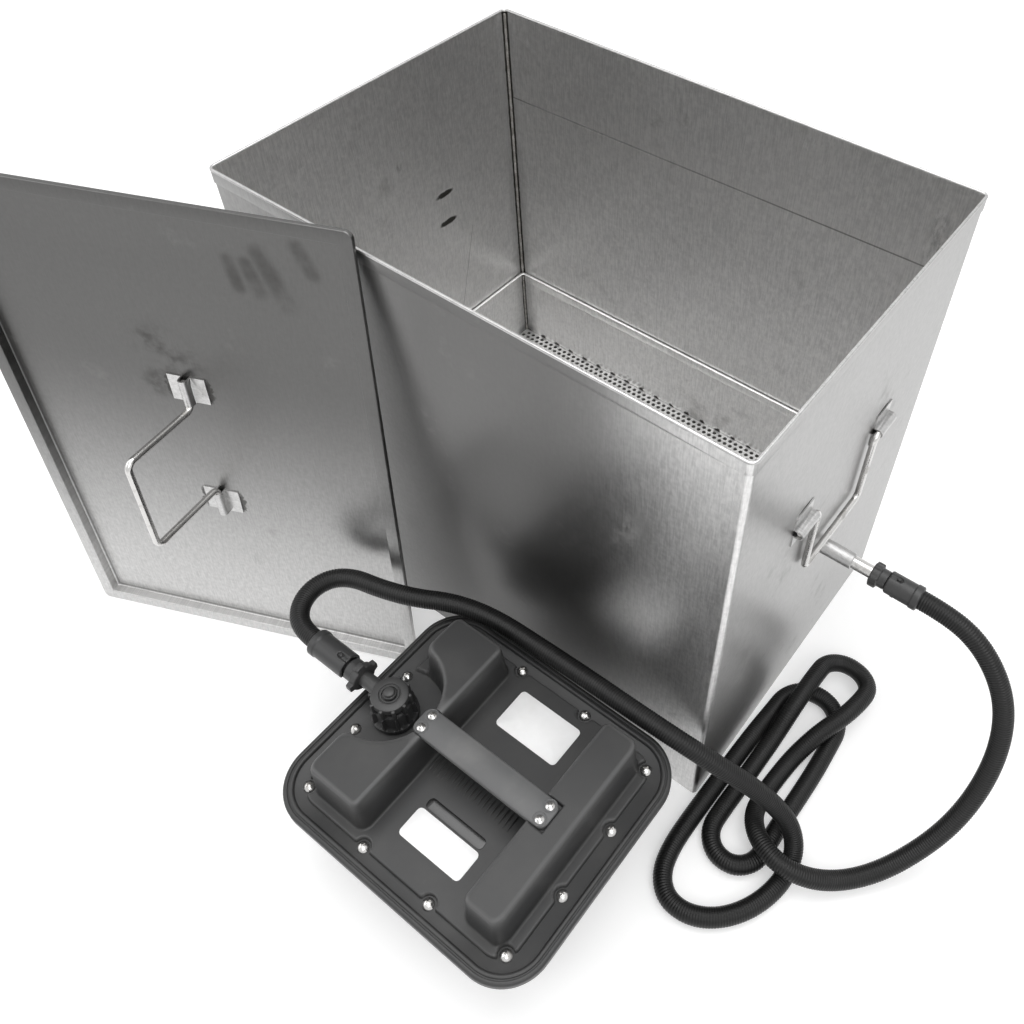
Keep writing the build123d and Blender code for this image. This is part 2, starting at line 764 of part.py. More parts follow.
ring_bore = thread_radius + ring_fit
with BuildPart() as cap_ring:
    with BuildSketch(cap_section):
        with BuildLine():
            Polyline(
                (ring_bore, ring_base),
                (ring_rim_radius, ring_base),
                (ring_rim_radius, ring_base + ring_rim_height),
                (ring_body_radius, ring_base + ring_rim_height),
                (ring_body_radius, ring_top),
                (elbow_barrel_radius + swivel_gap, ring_top),
                (elbow_barrel_radius + swivel_gap, ring_shoulder),
                (ring_bore, ring_shoulder),
                close=True,
            )
        make_face()
    revolve(axis=cap_axis)
    with BuildSketch(cap.offset(ring_base + ring_rim_height)):
        with PolarLocations((ring_rib_root + ring_rib_reach) / 2, ring_rib_count):
            Rectangle(ring_rib_reach - ring_rib_root, ring_rib_width)
    extrude(amount=ring_top - ring_base - ring_rim_height, taper=block_draft)
save(cap_ring.part, "cap_ring")

recess_floor = cap_top - button_recess_depth
chamber_top = recess_floor - button_recess_depth
chamber_base = chamber_top - valve_chamber_depth
with BuildPart() as steam_elbow:
    with BuildSketch(cap_section):
        with BuildLine():
            Polyline(
                (0, neck_top),
                (elbow_flange_radius, neck_top),
                (elbow_flange_radius, elbow_flange_top),
                (elbow_barrel_radius, elbow_flange_top),
                (elbow_barrel_radius, disc_base),
                (disc_radius, disc_base),
                (disc_radius, cap_top - disc_chamfer),
                (disc_radius - disc_chamfer, cap_top),
                (button_recess_radius, cap_top),
                (button_recess_radius, recess_floor),
                (stem_radius + stem_fit, recess_floor),
                (stem_radius + stem_fit, chamber_top),
                (valve_chamber_radius, chamber_top),
                (valve_chamber_radius, chamber_base),
                (0, chamber_base),
                close=True,
            )
        make_face()
    revolve(axis=cap_axis)
    with BuildSketch(Plane((cap.origin.X - elbow_barrel_radius / 2, cap.origin.Y, pipe_height), z_dir=(-1, 0, 0))):
        Circle(steam_pipe_radius)
    extrude(amount=steam_pipe_reach - elbow_barrel_radius / 2)
    with BuildSketch(Plane((cap.origin.X - steam_pipe_reach, cap.origin.Y, pipe_height), z_dir=(1, 0, 0))):
        Circle(steam_pipe_bore)
    extrude(amount=steam_pipe_reach - elbow_barrel_radius / 2, mode=Mode.SUBTRACT)
save(steam_elbow.part, "steam_elbow")

button_base = cap_top + button_lift - button_recess_depth / 2
valve_base = chamber_base + button_lift
with BuildPart() as relief_button:
    with BuildSketch(cap_section):
        with BuildLine():
            Polyline(
                (0, valve_base),
                (valve_radius, valve_base),
                (valve_radius, valve_base + valve_thickness),
                (stem_radius, valve_base + valve_thickness),
                (stem_radius, button_base),
                (button_radius, button_base),
                (button_top_radius, button_base + button_height),
                (0, button_base + button_height),
                close=True,
            )
        make_face()
    revolve(axis=cap_axis)
save(relief_button.part, "relief_button")

spring_base = valve_base + valve_thickness + spring_wire / 2
spring_rise = chamber_top - spring_wire / 2 - spring_base
with BuildPart() as relief_spring:
    with BuildLine(cap.offset(spring_base)):
        coil = Helix(pitch=spring_rise / spring_turns, height=spring_rise, radius=spring_radius)
    with BuildSketch(Plane(coil @ 0, x_dir=(1, 0, 0), z_dir=coil % 0)):
        Rectangle(spring_wire, spring_wire)
    sweep(is_frenet=True)
save(relief_spring.part, "relief_spring")

# Hose ends, turned about the pipes that they sit on
gen_pipe = Plane((cap.origin.X, cap.origin.Y, pipe_height), x_dir=(0, 1, 0), z_dir=(-1, 0, 0))
with BuildPart() as generator_union_nut:
    with BuildSketch(gen_pipe.offset(gen_nut_start)):
        Circle(gen_nut_radius)
        with PolarLocations(gen_nut_radius, gen_nut_tabs):
            Rectangle(2 * (gen_nut_tab_reach - gen_nut_radius), gen_nut_tab_width)
        Circle(steam_pipe_radius + ring_fit, mode=Mode.SUBTRACT)
    extrude(amount=gen_nut_length)
save(generator_union_nut.part, "generator_union_nut")

gen_cuff_start = steam_pipe_reach + cuff_neck_length
with BuildPart() as generator_hose_cuff:
    with BuildSketch(gen_pipe.offset(steam_pipe_reach)):
        Circle(cuff_neck_radius)
    extrude(amount=cuff_neck_length)
    with BuildSketch(gen_pipe.offset(gen_cuff_start)):
        Circle(gen_cuff_radius)
    extrude(amount=gen_cuff_length)
    chamfer(generator_hose_cuff.edges().group_by(Axis.X)[0], cuff_chamfer)
save(generator_hose_cuff.part, "generator_hose_cuff")

inlet_pipe = Plane(right_wall.from_local_coords((0, inlet_height, 0)), x_dir=(0, 1, 0), z_dir=(1, 0, 0))
inlet_nut_start = nipple_reach - inlet_nut_length - swivel_gap
with BuildPart() as inlet_union_nut:
    with BuildSketch(inlet_pipe.offset(inlet_nut_start)):
        Circle(inlet_nut_radius)
        with PolarLocations(inlet_nut_radius, inlet_nut_ribs):
            Rectangle(2 * (inlet_nut_rib_reach - inlet_nut_radius), inlet_nut_rib_width)
        Circle(nipple_radius + ring_fit, mode=Mode.SUBTRACT)
    extrude(amount=inlet_nut_length)
save(inlet_union_nut.part, "inlet_union_nut")

with BuildPart() as inlet_hose_cuff:
    with BuildSketch(inlet_pipe.offset(nipple_reach)):
        Circle(inlet_cuff_radius)
    extrude(amount=inlet_cuff_length)
    chamfer(inlet_hose_cuff.edges().group_by(Axis.X)[-1], cuff_chamfer)
save(inlet_hose_cuff.part, "inlet_hose_cuff")


# Steam hose
def hose_tube(name: str, route: list) -> Part:
    """A tube along straight runs joined by arcs as large as the runs allow."""
    points = [Vector(*point) for point in route]
    runs = [after - before for before, after in zip(points, points[1:])]
    radii = []
    for before, after in zip(runs, runs[1:]):
        turn = radians(before.get_angle(after))
        radii.append(0.45 * min(before.length, after.length) / tan(turn / 2))
    with BuildPart() as tube:
        with BuildLine():
            line = FilletPolyline(*points, radius=radii)
        with BuildSketch(Plane(line @ 0, z_dir=line % 0)):
            Circle(hose_radius)
        sweep()
    print(name, "length", round(line.length, 1), "radii", [round(radius) for radius in radii])
    return tube.part


feed_start = gen_pipe.from_local_coords((0, 0, gen_cuff_start + gen_cuff_length))
return_start = inlet_pipe.from_local_coords((0, 0, nipple_reach + inlet_cuff_length))
save(hose_tube("steam_hose_feed", [tuple(feed_start), *feed_route]), "steam_hose_feed")
save(hose_tube("steam_hose_return", [tuple(return_start), *return_route]), "steam_hose_return")

hank_plane = Plane((*hank_place, 0)).rotated((0, 0, 90 + hank_turn))
with BuildPart() as hose_hank:
    with BuildSketch(hank_plane):
        SlotOverall(hank_length, hank_width)
        SlotOverall(hank_length - 2 * hank_band, hank_width - 2 * hank_band, mode=Mode.SUBTRACT)
    extrude(amount=hank_height)
    chamfer(hose_hank.faces().sort_by(Axis.Z)[-1].outer_wire().edges(), hank_chamfer)
save(hose_hank.part, "hose_hank")
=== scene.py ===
"""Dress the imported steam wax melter: brushed sheet steel, moulded plastic, the ribbed hose and the studio."""

import json
import logging
import math
from dataclasses import dataclass, field
from enum import Enum

import bmesh
import bpy
import numpy as np
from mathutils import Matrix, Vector

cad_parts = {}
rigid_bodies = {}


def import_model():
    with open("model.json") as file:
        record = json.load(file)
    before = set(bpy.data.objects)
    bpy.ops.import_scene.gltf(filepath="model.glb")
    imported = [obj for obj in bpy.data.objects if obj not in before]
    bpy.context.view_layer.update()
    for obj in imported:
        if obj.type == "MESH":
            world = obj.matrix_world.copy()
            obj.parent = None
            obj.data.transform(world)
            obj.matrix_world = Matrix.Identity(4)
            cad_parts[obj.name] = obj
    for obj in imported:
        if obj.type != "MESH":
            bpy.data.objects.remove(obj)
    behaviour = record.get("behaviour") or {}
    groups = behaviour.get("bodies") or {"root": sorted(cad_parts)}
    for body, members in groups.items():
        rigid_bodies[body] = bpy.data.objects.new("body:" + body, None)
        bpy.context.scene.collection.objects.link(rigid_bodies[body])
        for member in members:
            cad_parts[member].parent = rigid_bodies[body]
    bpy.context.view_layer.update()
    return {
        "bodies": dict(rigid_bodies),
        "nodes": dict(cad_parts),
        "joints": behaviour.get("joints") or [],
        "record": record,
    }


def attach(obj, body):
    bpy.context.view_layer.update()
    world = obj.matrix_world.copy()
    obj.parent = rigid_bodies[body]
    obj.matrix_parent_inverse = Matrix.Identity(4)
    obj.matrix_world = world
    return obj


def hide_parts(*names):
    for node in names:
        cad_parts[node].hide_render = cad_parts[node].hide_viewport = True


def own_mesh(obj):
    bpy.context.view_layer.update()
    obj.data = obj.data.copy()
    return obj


MM = 0.001
UP = np.array([0.0, 0.0, 1.0])
RIGHT = np.array([1.0, 0.0, 0.0])
# Distance between the hose's ribs, in millimetres.
HOSE_PITCH = 2.3
# Half the tank's length and width to the middle of its sheet, in metres.
TANK_HALF = (0.2485, 0.1735)
log = logging.getLogger("wax_melter")


class Socket:
    """A node's output with arithmetic: each operator adds one Math node to its tree."""

    def __init__(self, shading: "Shading", output: bpy.types.NodeSocket) -> None:
        """Keep the tree that the output belongs to."""
        self.shading = shading
        self.output = output

    def maths(self, operation: str, *values: "Socket | float") -> "Socket":
        """Add a Math node.

        Args:
            operation: the Math node's operation.
            values: its inputs, in order.

        Returns:
            The node's result.
        """
        settings = {"operation": operation}
        return self.shading.node("ShaderNodeMath", settings, dict(enumerate(values))).out("Value")

    def __add__(self, other: "Socket | float") -> "Socket":
        """Sum."""
        return self.maths("ADD", self, other)

    __radd__ = __add__

    def __sub__(self, other: "Socket | float") -> "Socket":
        """Difference."""
        return self.maths("SUBTRACT", self, other)

    def __rsub__(self, other: float) -> "Socket":
        """Difference from a number."""
        return self.maths("SUBTRACT", other, self)

    def __mul__(self, other: "Socket | float") -> "Socket":
        """Product."""
        return self.maths("MULTIPLY", self, other)

    __rmul__ = __mul__

    def __mod__(self, other: float) -> "Socket":
        """Remainder that is never negative."""
        return self.maths("FLOORED_MODULO", self, other)

    def __pow__(self, other: float) -> "Socket":
        """Power."""
        return self.maths("POWER", self, other)

    def __abs__(self) -> "Socket":
        """Size without its sign."""
        return self.maths("ABSOLUTE", self)

    def smaller(self, other: "Socket | float") -> "Socket":
        """The smaller of two values."""
        return self.maths("MINIMUM", self, other)

    def larger(self, other: "Socket | float") -> "Socket":
        """The larger of two values."""
        return self.maths("MAXIMUM", self, other)

    def rise(self, low: float, high: float) -> "Socket":
        """Smooth step.

        Args:
            low: the value that gives 0.
            high: the value that gives 1; it may be the smaller one.

        Returns:
            A value from 0 to 1.
        """
        inputs = {"Value": self, "From Min": low, "From Max": high}
        settings = {"interpolation_type": "SMOOTHSTEP", "clamp": True}
        return self.shading.node("ShaderNodeMapRange", settings, inputs).out("Result")


@dataclass
class MadeNode:
    """A node that has been added to a material's tree."""

    shading: "Shading"
    made: bpy.types.Node

    def out(self, name: str) -> Socket:
        """The output of that name."""
        return Socket(self.shading, self.made.outputs[name])


class Shading:
    """The node tree of a material or of the world."""

    def __init__(self, name: str, world: bool = False) -> None:
        """Start an empty tree.

        Args:
            name: the finish's name.
            world: whether it is the world's tree.
        """
        self.owner = (bpy.data.worlds if world else bpy.data.materials).new(name)
        self.owner.use_nodes = True
        self.tree = self.owner.node_tree
        self.tree.nodes.clear()

    def node(self, kind: str, settings: dict | None = None, inputs: dict | None = None) -> MadeNode:
        """Add a node.

        Args:
            kind: the node's type name.
            settings: its properties, which are set first.
            inputs: values or sockets by the input's name or number.

        Returns:
            The node.
        """
        made = self.tree.nodes.new(kind)
        for name, value in (settings or {}).items():
            setattr(made, name, value)
        for key, value in (inputs or {}).items():
            if isinstance(value, Socket):
                self.tree.links.new(value.output, made.inputs[key])
            else:
                made.inputs[key].default_value = value
        return MadeNode(self, made)

    def point(self) -> Socket:
        """Object coordinates, in metres."""
        return self.node("ShaderNodeTexCoord").out("Object")

    def surface(self) -> Socket:
        """The piece's own UV map, in metres."""
        return self.node("ShaderNodeTexCoord").out("UV")

    def stretched(self, vector: Socket, scale: tuple[float, float, float]) -> Socket:
        """Coordinates scaled along each axis."""
        return self.node("ShaderNodeMapping", None, {"Vector": vector, "Scale": scale}).out("Vector")

    def axes(self, vector: Socket) -> tuple[Socket, Socket, Socket]:
        """A vector's three numbers."""
        split = self.node("ShaderNodeSeparateXYZ", None, {"Vector": vector})
        return split.out("X"), split.out("Y"), split.out("Z")

    def noise(self, vector: Socket, scale: float, detail: float = 3.0, rough: float = 0.55) -> Socket:
        """Noise between about 0.2 and 0.8.

        Args:
            vector: where it is read.
            scale: waves per unit of the vector.
            detail: octaves.
            rough: how strong the small octaves are.

        Returns:
            The noise's value.
        """
        inputs = {"Vector": vector, "Scale": scale, "Detail": detail, "Roughness": rough}
        return self.node("ShaderNodeTexNoise", None, inputs).out("Fac")

    def blend(self, factor: Socket, first: "tuple | Socket", second: "tuple | Socket") -> Socket:
        """A colour between two colours.

        Args:
            factor: 0 for the first, 1 for the second.
            first: linear red, green, blue and alpha, or a colour socket.
            second: the other colour.

        Returns:
            The mixed colour.
        """
        settings = {"data_type": "RGBA", "clamp_factor": True}
        made = self.node("ShaderNodeMix", settings, {0: factor, 6: first, 7: second})
        return Socket(self, made.made.outputs[2])

    def seen_as_background(self) -> Socket:
        """1 for the rays of the camera, of gloss and of glass, and 0 for those that light the object.

        Returns:
            The mask.
        """
        rays = self.node("ShaderNodeLightPath")
        seen = rays.out("Is Camera Ray")
        for name in ("Is Glossy Ray", "Is Transmission Ray"):
            seen = seen.larger(rays.out(name))
        return seen

    def relief(self, height: Socket, distance: float, strength: float = 1.0, rounding: float = 0.0) -> Socket:
        """A bumped normal.

        Args:
            height: a height of 0 to 1.
            distance: what that height stands for, in metres.
            strength: share of the bump that is kept.
            rounding: radius that sharp edges are shaded with, in metres.

        Returns:
            The normal.
        """
        inputs = {"Height": height, "Distance": distance, "Strength": strength}
        if rounding:
            soft = self.node("ShaderNodeBevel", {"samples": 4}, {"Radius": rounding})
            inputs["Normal"] = soft.out("Normal")
        return self.node("ShaderNodeBump", None, inputs).out("Normal")

    def stroke(self, place: tuple[Socket, Socket], start: tuple, end: tuple, width: float) -> Socket:
        """A straight soft-edged stroke: the distance to a line between two points, turned into a mask.

        Args:
            place: the two coordinates that are read.
            start: the stroke's first point.
            end: its last point.
            width: where the mask has faded out.

        Returns:
            1 on the stroke and 0 beyond its width.
        """
        run = (end[0] - start[0], end[1] - start[1])
        size = run[0] ** 2 + run[1] ** 2
        u, v = place[0] - start[0], place[1] - start[1]
        share = (u * (run[0] / size) + v * (run[1] / size)).larger(0.0).smaller(1.0)
        across, along = u - share * run[0], v - share * run[1]
        return ((across * across + along * along) ** 0.5).rise(width, width * 0.2)

    def oval(self, across: Socket, along: Socket, half: tuple[float, float]) -> Socket:
        """The square of the distance from an oval's middle, which is 1 on its edge."""
        u, v = across * (1 / half[0]), along * (1 / half[1])
        return u * u + v * v

    def close(self, inputs: dict) -> bpy.types.Material:
        """Add the surface shader and the output.

        Args:
            inputs: the Principled shader's values and sockets by name.

        Returns:
            The material.
        """
        surface = self.node("ShaderNodeBsdfPrincipled", None, inputs).out("BSDF")
        self.node("ShaderNodeOutputMaterial", None, {"Surface": surface})
        return self.owner


class Grain(Enum):
    """Which way a sheet was brushed, as scale factors of the coordinates it reads."""

    UPRIGHT = (900.0, 900.0, 70.0)
    ALONG = (70.0, 900.0, 900.0)
    UV_LENGTHWISE = (900.0, 70.0, 1.0)


class Marks(Enum):
    """Which heat and handling marks, and which painted shade, a sheet carries."""

    NONE = "none"
    TANK = "tank"
    BASKET = "basket"
    LID = "lid"


def grey(level: float, warm: float = 0.0) -> tuple[float, float, float, float]:
    """A linear grey, warmed by taking a share of blue away."""
    return (level, level * (1 - 0.4 * warm), level * (1 - warm), 1.0)


@dataclass(frozen=True)
class BrushedSteel:
    """Brushed stainless sheet with a fine short grain, soft clouding, handling smudges, weld marks and, on the
    tank and the lid, painted shade.
    """

    name: str
    grain: Grain = Grain.UPRIGHT
    level: float = 0.72
    roughness: float = 0.34
    smudges: float = 0.5
    marks: Marks = Marks.NONE
    metallic: float = 1.0

    def seam(self, gap: Socket, wobble: Socket, leg: float) -> Socket:
        """The dark metal on both sides of a corner's weld bead, in a faint heat band."""
        return (gap + wobble).rise(leg + 0.0005, leg - 0.0004).larger(gap.rise(0.02, leg) * 0.25)

    def hollow_side(self, place: tuple[Socket, Socket], centre: tuple, bend: float) -> Socket:
        """1 inside the rear left corner's bend and 0.15 on its outside, where the weld is ground flush.

        Args:
            place: the two coordinates that are read.
            centre: the bend's centre.
            bend: its inner radius.

        Returns:
            The share of the weld's dark metal that shows.
        """
        across, along = (centre[0] - place[0]).larger(0.0), (place[1] - centre[1]).larger(0.0)
        reach = (across * across + along * along) ** 0.5
        return 0.15 + 0.85 * reach.rise(bend + 0.0007, bend + 0.0003)

    def outside(self, x: Socket, y: Socket) -> Socket:
        """1 outside the tank's sheet and 0 inside it."""
        return (abs(x) - TANK_HALF[0]).larger(abs(y) - TANK_HALF[1]).rise(-0.0003, 0.0003)

    def tank_marks(self, shade: Shading) -> Socket:
        """Burnt ovals behind the saddles, the welded corner, a thin dark line across the back wall, a scribed
        line on the left wall and greasy finger marks.

        Args:
            shade: the material's node tree.

        Returns:
            How dark the sheet is, from 0 to 1.
        """
        x, y, z = shade.axes(shade.point())
        wobble = (shade.noise(shade.point(), 150.0, 3.0) - 0.5) * 0.006
        saddle, hinge, flange = 0.065, 0.3155, 0.017
        across, up = abs(y) - saddle + wobble, abs(z - hinge) - flange + wobble * 0.4
        burns = shade.oval(across, up, (0.0125, 0.0036)).rise(1.3, 0.5) * abs(x).rise(0.244, 0.246)
        seam = self.seam(TANK_HALF[0] + x + TANK_HALF[1] - y, wobble * 0.25, 0.0053)
        seam = seam * self.hollow_side((x, y), (-0.244, 0.169), 0.004)
        back_wall, left_wall = y.rise(0.17, 0.172), x.rise(-0.245, -0.247)
        # A thin dark line across the back wall.
        ledge = abs(z - 0.3968 - 0.0116 * x).rise(0.0011, 0.0004) * back_wall
        scribe = abs(y - 0.0172 - 0.3 * z).rise(0.0008, 0.0003) * left_wall * z.rise(0.28, 0.26)
        drawn_out = shade.stretched(shade.point(), (190.0, 190.0, 55.0))
        grease = shade.noise(drawn_out, 1.0, 5.0, 0.65).rise(0.42, 0.66)
        right = shade.stroke((x, z), (0.226, 0.398), (0.220, 0.446), 0.015)
        top = shade.stroke((x, z), (0.092, 0.468), (0.111, 0.474), 0.011)
        left = shade.stroke((y, z), (0.010, 0.388), (0.018, 0.401), 0.005)
        fingers = (right.larger(top) * back_wall).larger(left * left_wall)
        drawn = seam.larger(ledge * 0.7).larger(scribe * 0.4).larger(fingers * grease * 0.6)
        return burns.larger(drawn * (1 - self.outside(x, y)))

    def basket_marks(self, shade: Shading) -> Socket:
        """The welded corner, stained at its foot, a row of spot welds and painted shade on the ledge under the
        floor.

        Args:
            shade: the material's node tree.

        Returns:
            How dark the sheet is, from 0 to 1.
        """
        x, y, z = shade.axes(shade.point())
        wobble = (shade.noise(shade.point(), 150.0, 3.0) - 0.5) * 0.004
        gap = 0.2445 + x + 0.1695 - y - 0.0012 * z.rise(0.1555, 0.1565)
        seam = self.seam(gap, wobble * 0.3, 0.003)
        seam = seam * self.hollow_side((x, y), (-0.2415, 0.1665), 0.003)
        stain = (gap + wobble * 2).rise(0.022, 0.006) * z.rise(0.094, 0.08) * 0.75
        spot_pitch, half_pitch, spot_height = 0.0217, 0.0108, 0.0778
        along = (x + half_pitch) % spot_pitch - half_pitch + wobble * 1.6
        spots = shade.oval(along, z - spot_height + wobble * 1.2, (0.0036, 0.003)).rise(1.5, 0.4)
        spots = spots * abs(y).rise(0.165, 0.167) * 0.95
        within = (abs(x) - 0.245).larger(abs(y) - 0.17)
        # Painted shade: the ledge under the perforated floor is dark where it is seen through the holes.
        ledge = within.rise(-0.0004, -0.001) * z.rise(0.0769, 0.0764) * 0.95
        return (seam.larger(spots).larger(stain) * within.rise(0.0003, -0.0003)).larger(ledge)

    def lid_marks(self, shade: Shading) -> Socket:
        """Weld dabs at the saddles, finger marks below the top, a soiled patch and painted shade along the
        step.

        Args:
            shade: the material's node tree.

        Returns:
            How dark the sheet is, from 0 to 1.
        """
        u, v, _ = shade.axes(shade.surface())
        wobble = (shade.noise(shade.surface(), 190.0, 3.0) - 0.5) * 0.012
        flange, saddle = 0.0185, 0.0665
        across, along = abs(u) - flange + wobble, abs(v) - saddle + wobble
        dabs = shade.oval(across, along, (0.0034, 0.012)).rise(1.5, 0.4) * 0.7
        patchy = shade.noise(shade.surface(), 48.0, 4.0, 0.6).rise(0.4, 0.68)
        beside = shade.stroke((u, v), (-0.022, 0.112), (0.0, 0.094), 0.03)
        below = shade.stroke((u, v), (-0.03, 0.066), (-0.02, 0.075), 0.02)
        soiled = patchy * beside.larger(below) * 0.5
        fingers = (
            ((0.068, 0.206), (0.072, 0.182), 0.009), ((0.082, 0.205), (0.089, 0.180), 0.01),
            ((0.094, 0.216), (0.111, 0.173), 0.012), ((0.127, 0.226), (0.137, 0.205), 0.01),
        )
        smear = shade.noise(shade.surface(), 38.0, 3.0, 0.5).rise(0.2, 0.7)
        for begin, finish, width in fingers:
            soiled = soiled.larger(shade.stroke((u, v), begin, finish, width) * smear * 0.45)
        step = (abs(u) - 0.166).larger(abs(v) - 0.241)
        # The dark line along the step, where the flange meets the recess, is painted shade.
        return dabs.larger(soiled).larger(abs(step + 0.0024).rise(0.0016, 0.0006) * 0.4)

    def painted_shade(self, shade: Shading) -> "Socket | float":
        """Painted shade and painted reflection: the tank's outside darker than its inside, a darker band on its
        front with a lighter right end, painted shade inside towards its bottom under the basket, and the lid
        darker towards its top.

        Args:
            shade: the material's node tree.

        Returns:
            A share from 0 to about 1.
        """
        if self.marks is Marks.LID:
            # Painted shade: the lid's upper part is darker than its lower part.
            _, v, _ = shade.axes(shade.surface())
            return 0.04 + 0.88 * v.rise(-0.26, 0.1)
        if self.marks is Marks.TANK:
            x, y, z = shade.axes(shade.point())
            # Painted shade: the tank's outside is a darker copy of the steel inside.
            outside = self.outside(x, y)
            front = y.rise(-0.1732, -0.1738)
            # Painted reflection on the front wall: a darker band in the middle and a lighter right end.
            middle = 0.1 + 0.3 * abs(x - 0.03).rise(0.2, 0.05) - 0.6 * x.rise(0.12, 0.22)
            # Painted shade inside the tank towards its bottom, under the basket.
            return 0.54 * outside + front * middle + (1 - outside) * z.rise(0.1, 0.06) * 0.8
        return 0.0

    def material(self) -> bpy.types.Material:
        """Build the material.

        Returns:
            The material.
        """
        shade = Shading(self.name)
        flat = self.grain is Grain.UV_LENGTHWISE
        point = shade.surface() if flat else shade.point()
        streaks = shade.noise(shade.stretched(point, self.grain.value), 1.0, 3.0, 0.6)
        mottle = shade.noise(point, 240.0, 3.0)
        clouds = shade.noise(point, 7.0, 4.0)
        smears = shade.noise(point, 26.0, 5.0, 0.65).rise(0.56, 0.74) * clouds.rise(0.45, 0.62)
        tone = (0.6 * streaks + 0.4 * mottle).rise(0.3, 0.7)
        base = shade.blend(tone, grey(self.level * 0.8, 0.01), grey(self.level * 1.1, 0.015))
        # The painted shade and painted reflection pull the base colour towards a dark grey.
        shaded_base = shade.blend(self.painted_shade(shade), base, grey(self.level * 0.15, 0.03))
        colour = shade.blend(smears * self.smudges, shaded_base, grey(self.level * 0.4, 0.03))
        roughness = self.roughness + 0.12 * (streaks - 0.5) + 0.1 * (clouds - 0.5) + 0.14 * smears
        normal = shade.relief(streaks, 0.00003, 0.7)
        inputs = {"Metallic": self.metallic, "Anisotropic": 0.3, "Normal": normal}
        painters = {Marks.TANK: self.tank_marks, Marks.BASKET: self.basket_marks, Marks.LID: self.lid_marks}
        if self.marks in painters:
            burnt = painters[self.marks](shade)
            colour = shade.blend(burnt, colour, grey(0.016, 0.3))
            inputs["Metallic"] = 1.0 - 0.6 * burnt
            roughness = roughness + 0.25 * burnt
        return shade.close({**inputs, "Base Color": colour, "Roughness": roughness})


@dataclass(frozen=True)
class PolishedBar:
    """Bright round bar with faint drawing lines and a few dull spots."""

    name: str

    def material(self) -> bpy.types.Material:
        """Build the material.

        Returns:
            The material.
        """
        shade = Shading(self.name)
        point = shade.point()
        lines = shade.noise(point, 900.0, 2.0)
        dull = shade.noise(point, 60.0, 3.0).rise(0.52, 0.7)
        base = shade.blend(dull, grey(0.62, 0.03), grey(0.42, 0.06))
        return shade.close(
            {
                "Base Color": base,
                "Metallic": 1.0,
                "Roughness": 0.16 + 0.2 * dull + 0.08 * lines,
                "Normal": shade.relief(lines, 0.00002, 0.4),
            }
        )


@dataclass(frozen=True)
class WeldOxide:
    """Dull heat-tinted weld metal in grey patches."""

    name: str
    level: float = 0.24

    def material(self) -> bpy.types.Material:
        """Build the material.

        Returns:
            The material.
        """
        shade = Shading(self.name)
        point = shade.point()
        patches = shade.noise(point, 160.0, 4.0, 0.6)
        base = shade.blend(patches.rise(0.35, 0.75), grey(self.level, 0.12), grey(self.level * 2, 0.06))
        return shade.close(
            {
                "Base Color": base,
                "Metallic": 0.6,
                "Roughness": 0.5 + 0.3 * patches,
                "Normal": shade.relief(patches, 0.0003, 0.7),
            }
        )


@dataclass(frozen=True)
class MouldedPlastic:
    """Dark moulded plastic with a fine spark-eroded grain, faint dust, rubbed scuffs and, where chosen, rubbed
    edges that also carry a painted highlight.
    """

    name: str
    level: float = 0.03
    roughness: float = 0.46
    grain: float = 0.00006
    rounding: float = 0.0011
    gloss: float = 0.42
    rubbed_and_highlit_edges: bool = False

    def material(self) -> bpy.types.Material:
        """Build the material.

        Returns:
            The material.
        """
        shade = Shading(self.name)
        point = shade.point()
        pits = shade.noise(point, 1500.0, 2.0, 0.6)
        clouds = shade.noise(point, 18.0, 4.0)
        scuffs = shade.noise(shade.stretched(point, (420.0, 60.0, 420.0)), 1.0, 3.0).rise(0.66, 0.8)
        dust = clouds.rise(0.42, 0.75)
        base = shade.blend(dust, grey(self.level * 0.9, -0.02), grey(self.level * 1.35, 0.02))
        scuffed = shade.blend(scuffs * dust * 0.5, base, grey(self.level * 2.2))
        if self.rubbed_and_highlit_edges:
            # Rubbed wear and a painted highlight along the blocks' top edges.
            edge = shade.node("ShaderNodeAttribute", {"attribute_name": "edge_wear_and_highlight"}).out("Fac")
            scuffed = shade.blend(edge * 0.65, scuffed, grey(self.level * 4.5))
        return shade.close(
            {
                "Base Color": scuffed,
                "Specular IOR Level": self.gloss,
                "Roughness": self.roughness + 0.14 * (clouds - 0.5) + 0.1 * (pits - 0.5),
                "Normal": shade.relief(pits, self.grain, 0.6, self.rounding),
            }
        )


@dataclass(frozen=True)
class HoseRubber:
    """Satin black ribbed hose, with painted shade in its grooves and wear with a painted highlight on its ribs,
    by the distance along it.
    """

    name: str
    pitch: float

    def material(self) -> bpy.types.Material:
        """Build the material.

        Returns:
            The material.
        """
        shade = Shading(self.name)
        _, along, _ = shade.axes(shade.surface())
        rib = abs((along * (1 / self.pitch)) % 1.0 - 0.5) * 2.0
        wear_and_highlight = shade.noise(shade.point(), 45.0, 4.0)
        specks = shade.noise(shade.point(), 700.0, 2.0)
        crest = rib.rise(0.75, 0.2)
        # Painted shade in the grooves and a lighter, painted highlight on the crests.
        base = shade.blend(crest, grey(0.004), grey(0.012))
        # Lighter patches on the crests: wear and a painted highlight.
        worn_and_highlit = shade.blend(wear_and_highlight.rise(0.5, 0.75) * crest, base, grey(0.022, 0.03))
        return shade.close(
            {
                "Base Color": worn_and_highlit,
                "Specular IOR Level": 0.28,
                "Roughness": 0.36 + 0.2 * (wear_and_highlight - 0.5) + 0.1 * specks,
                "Normal": shade.relief(specks, 0.00004, 0.5),
            }
        )


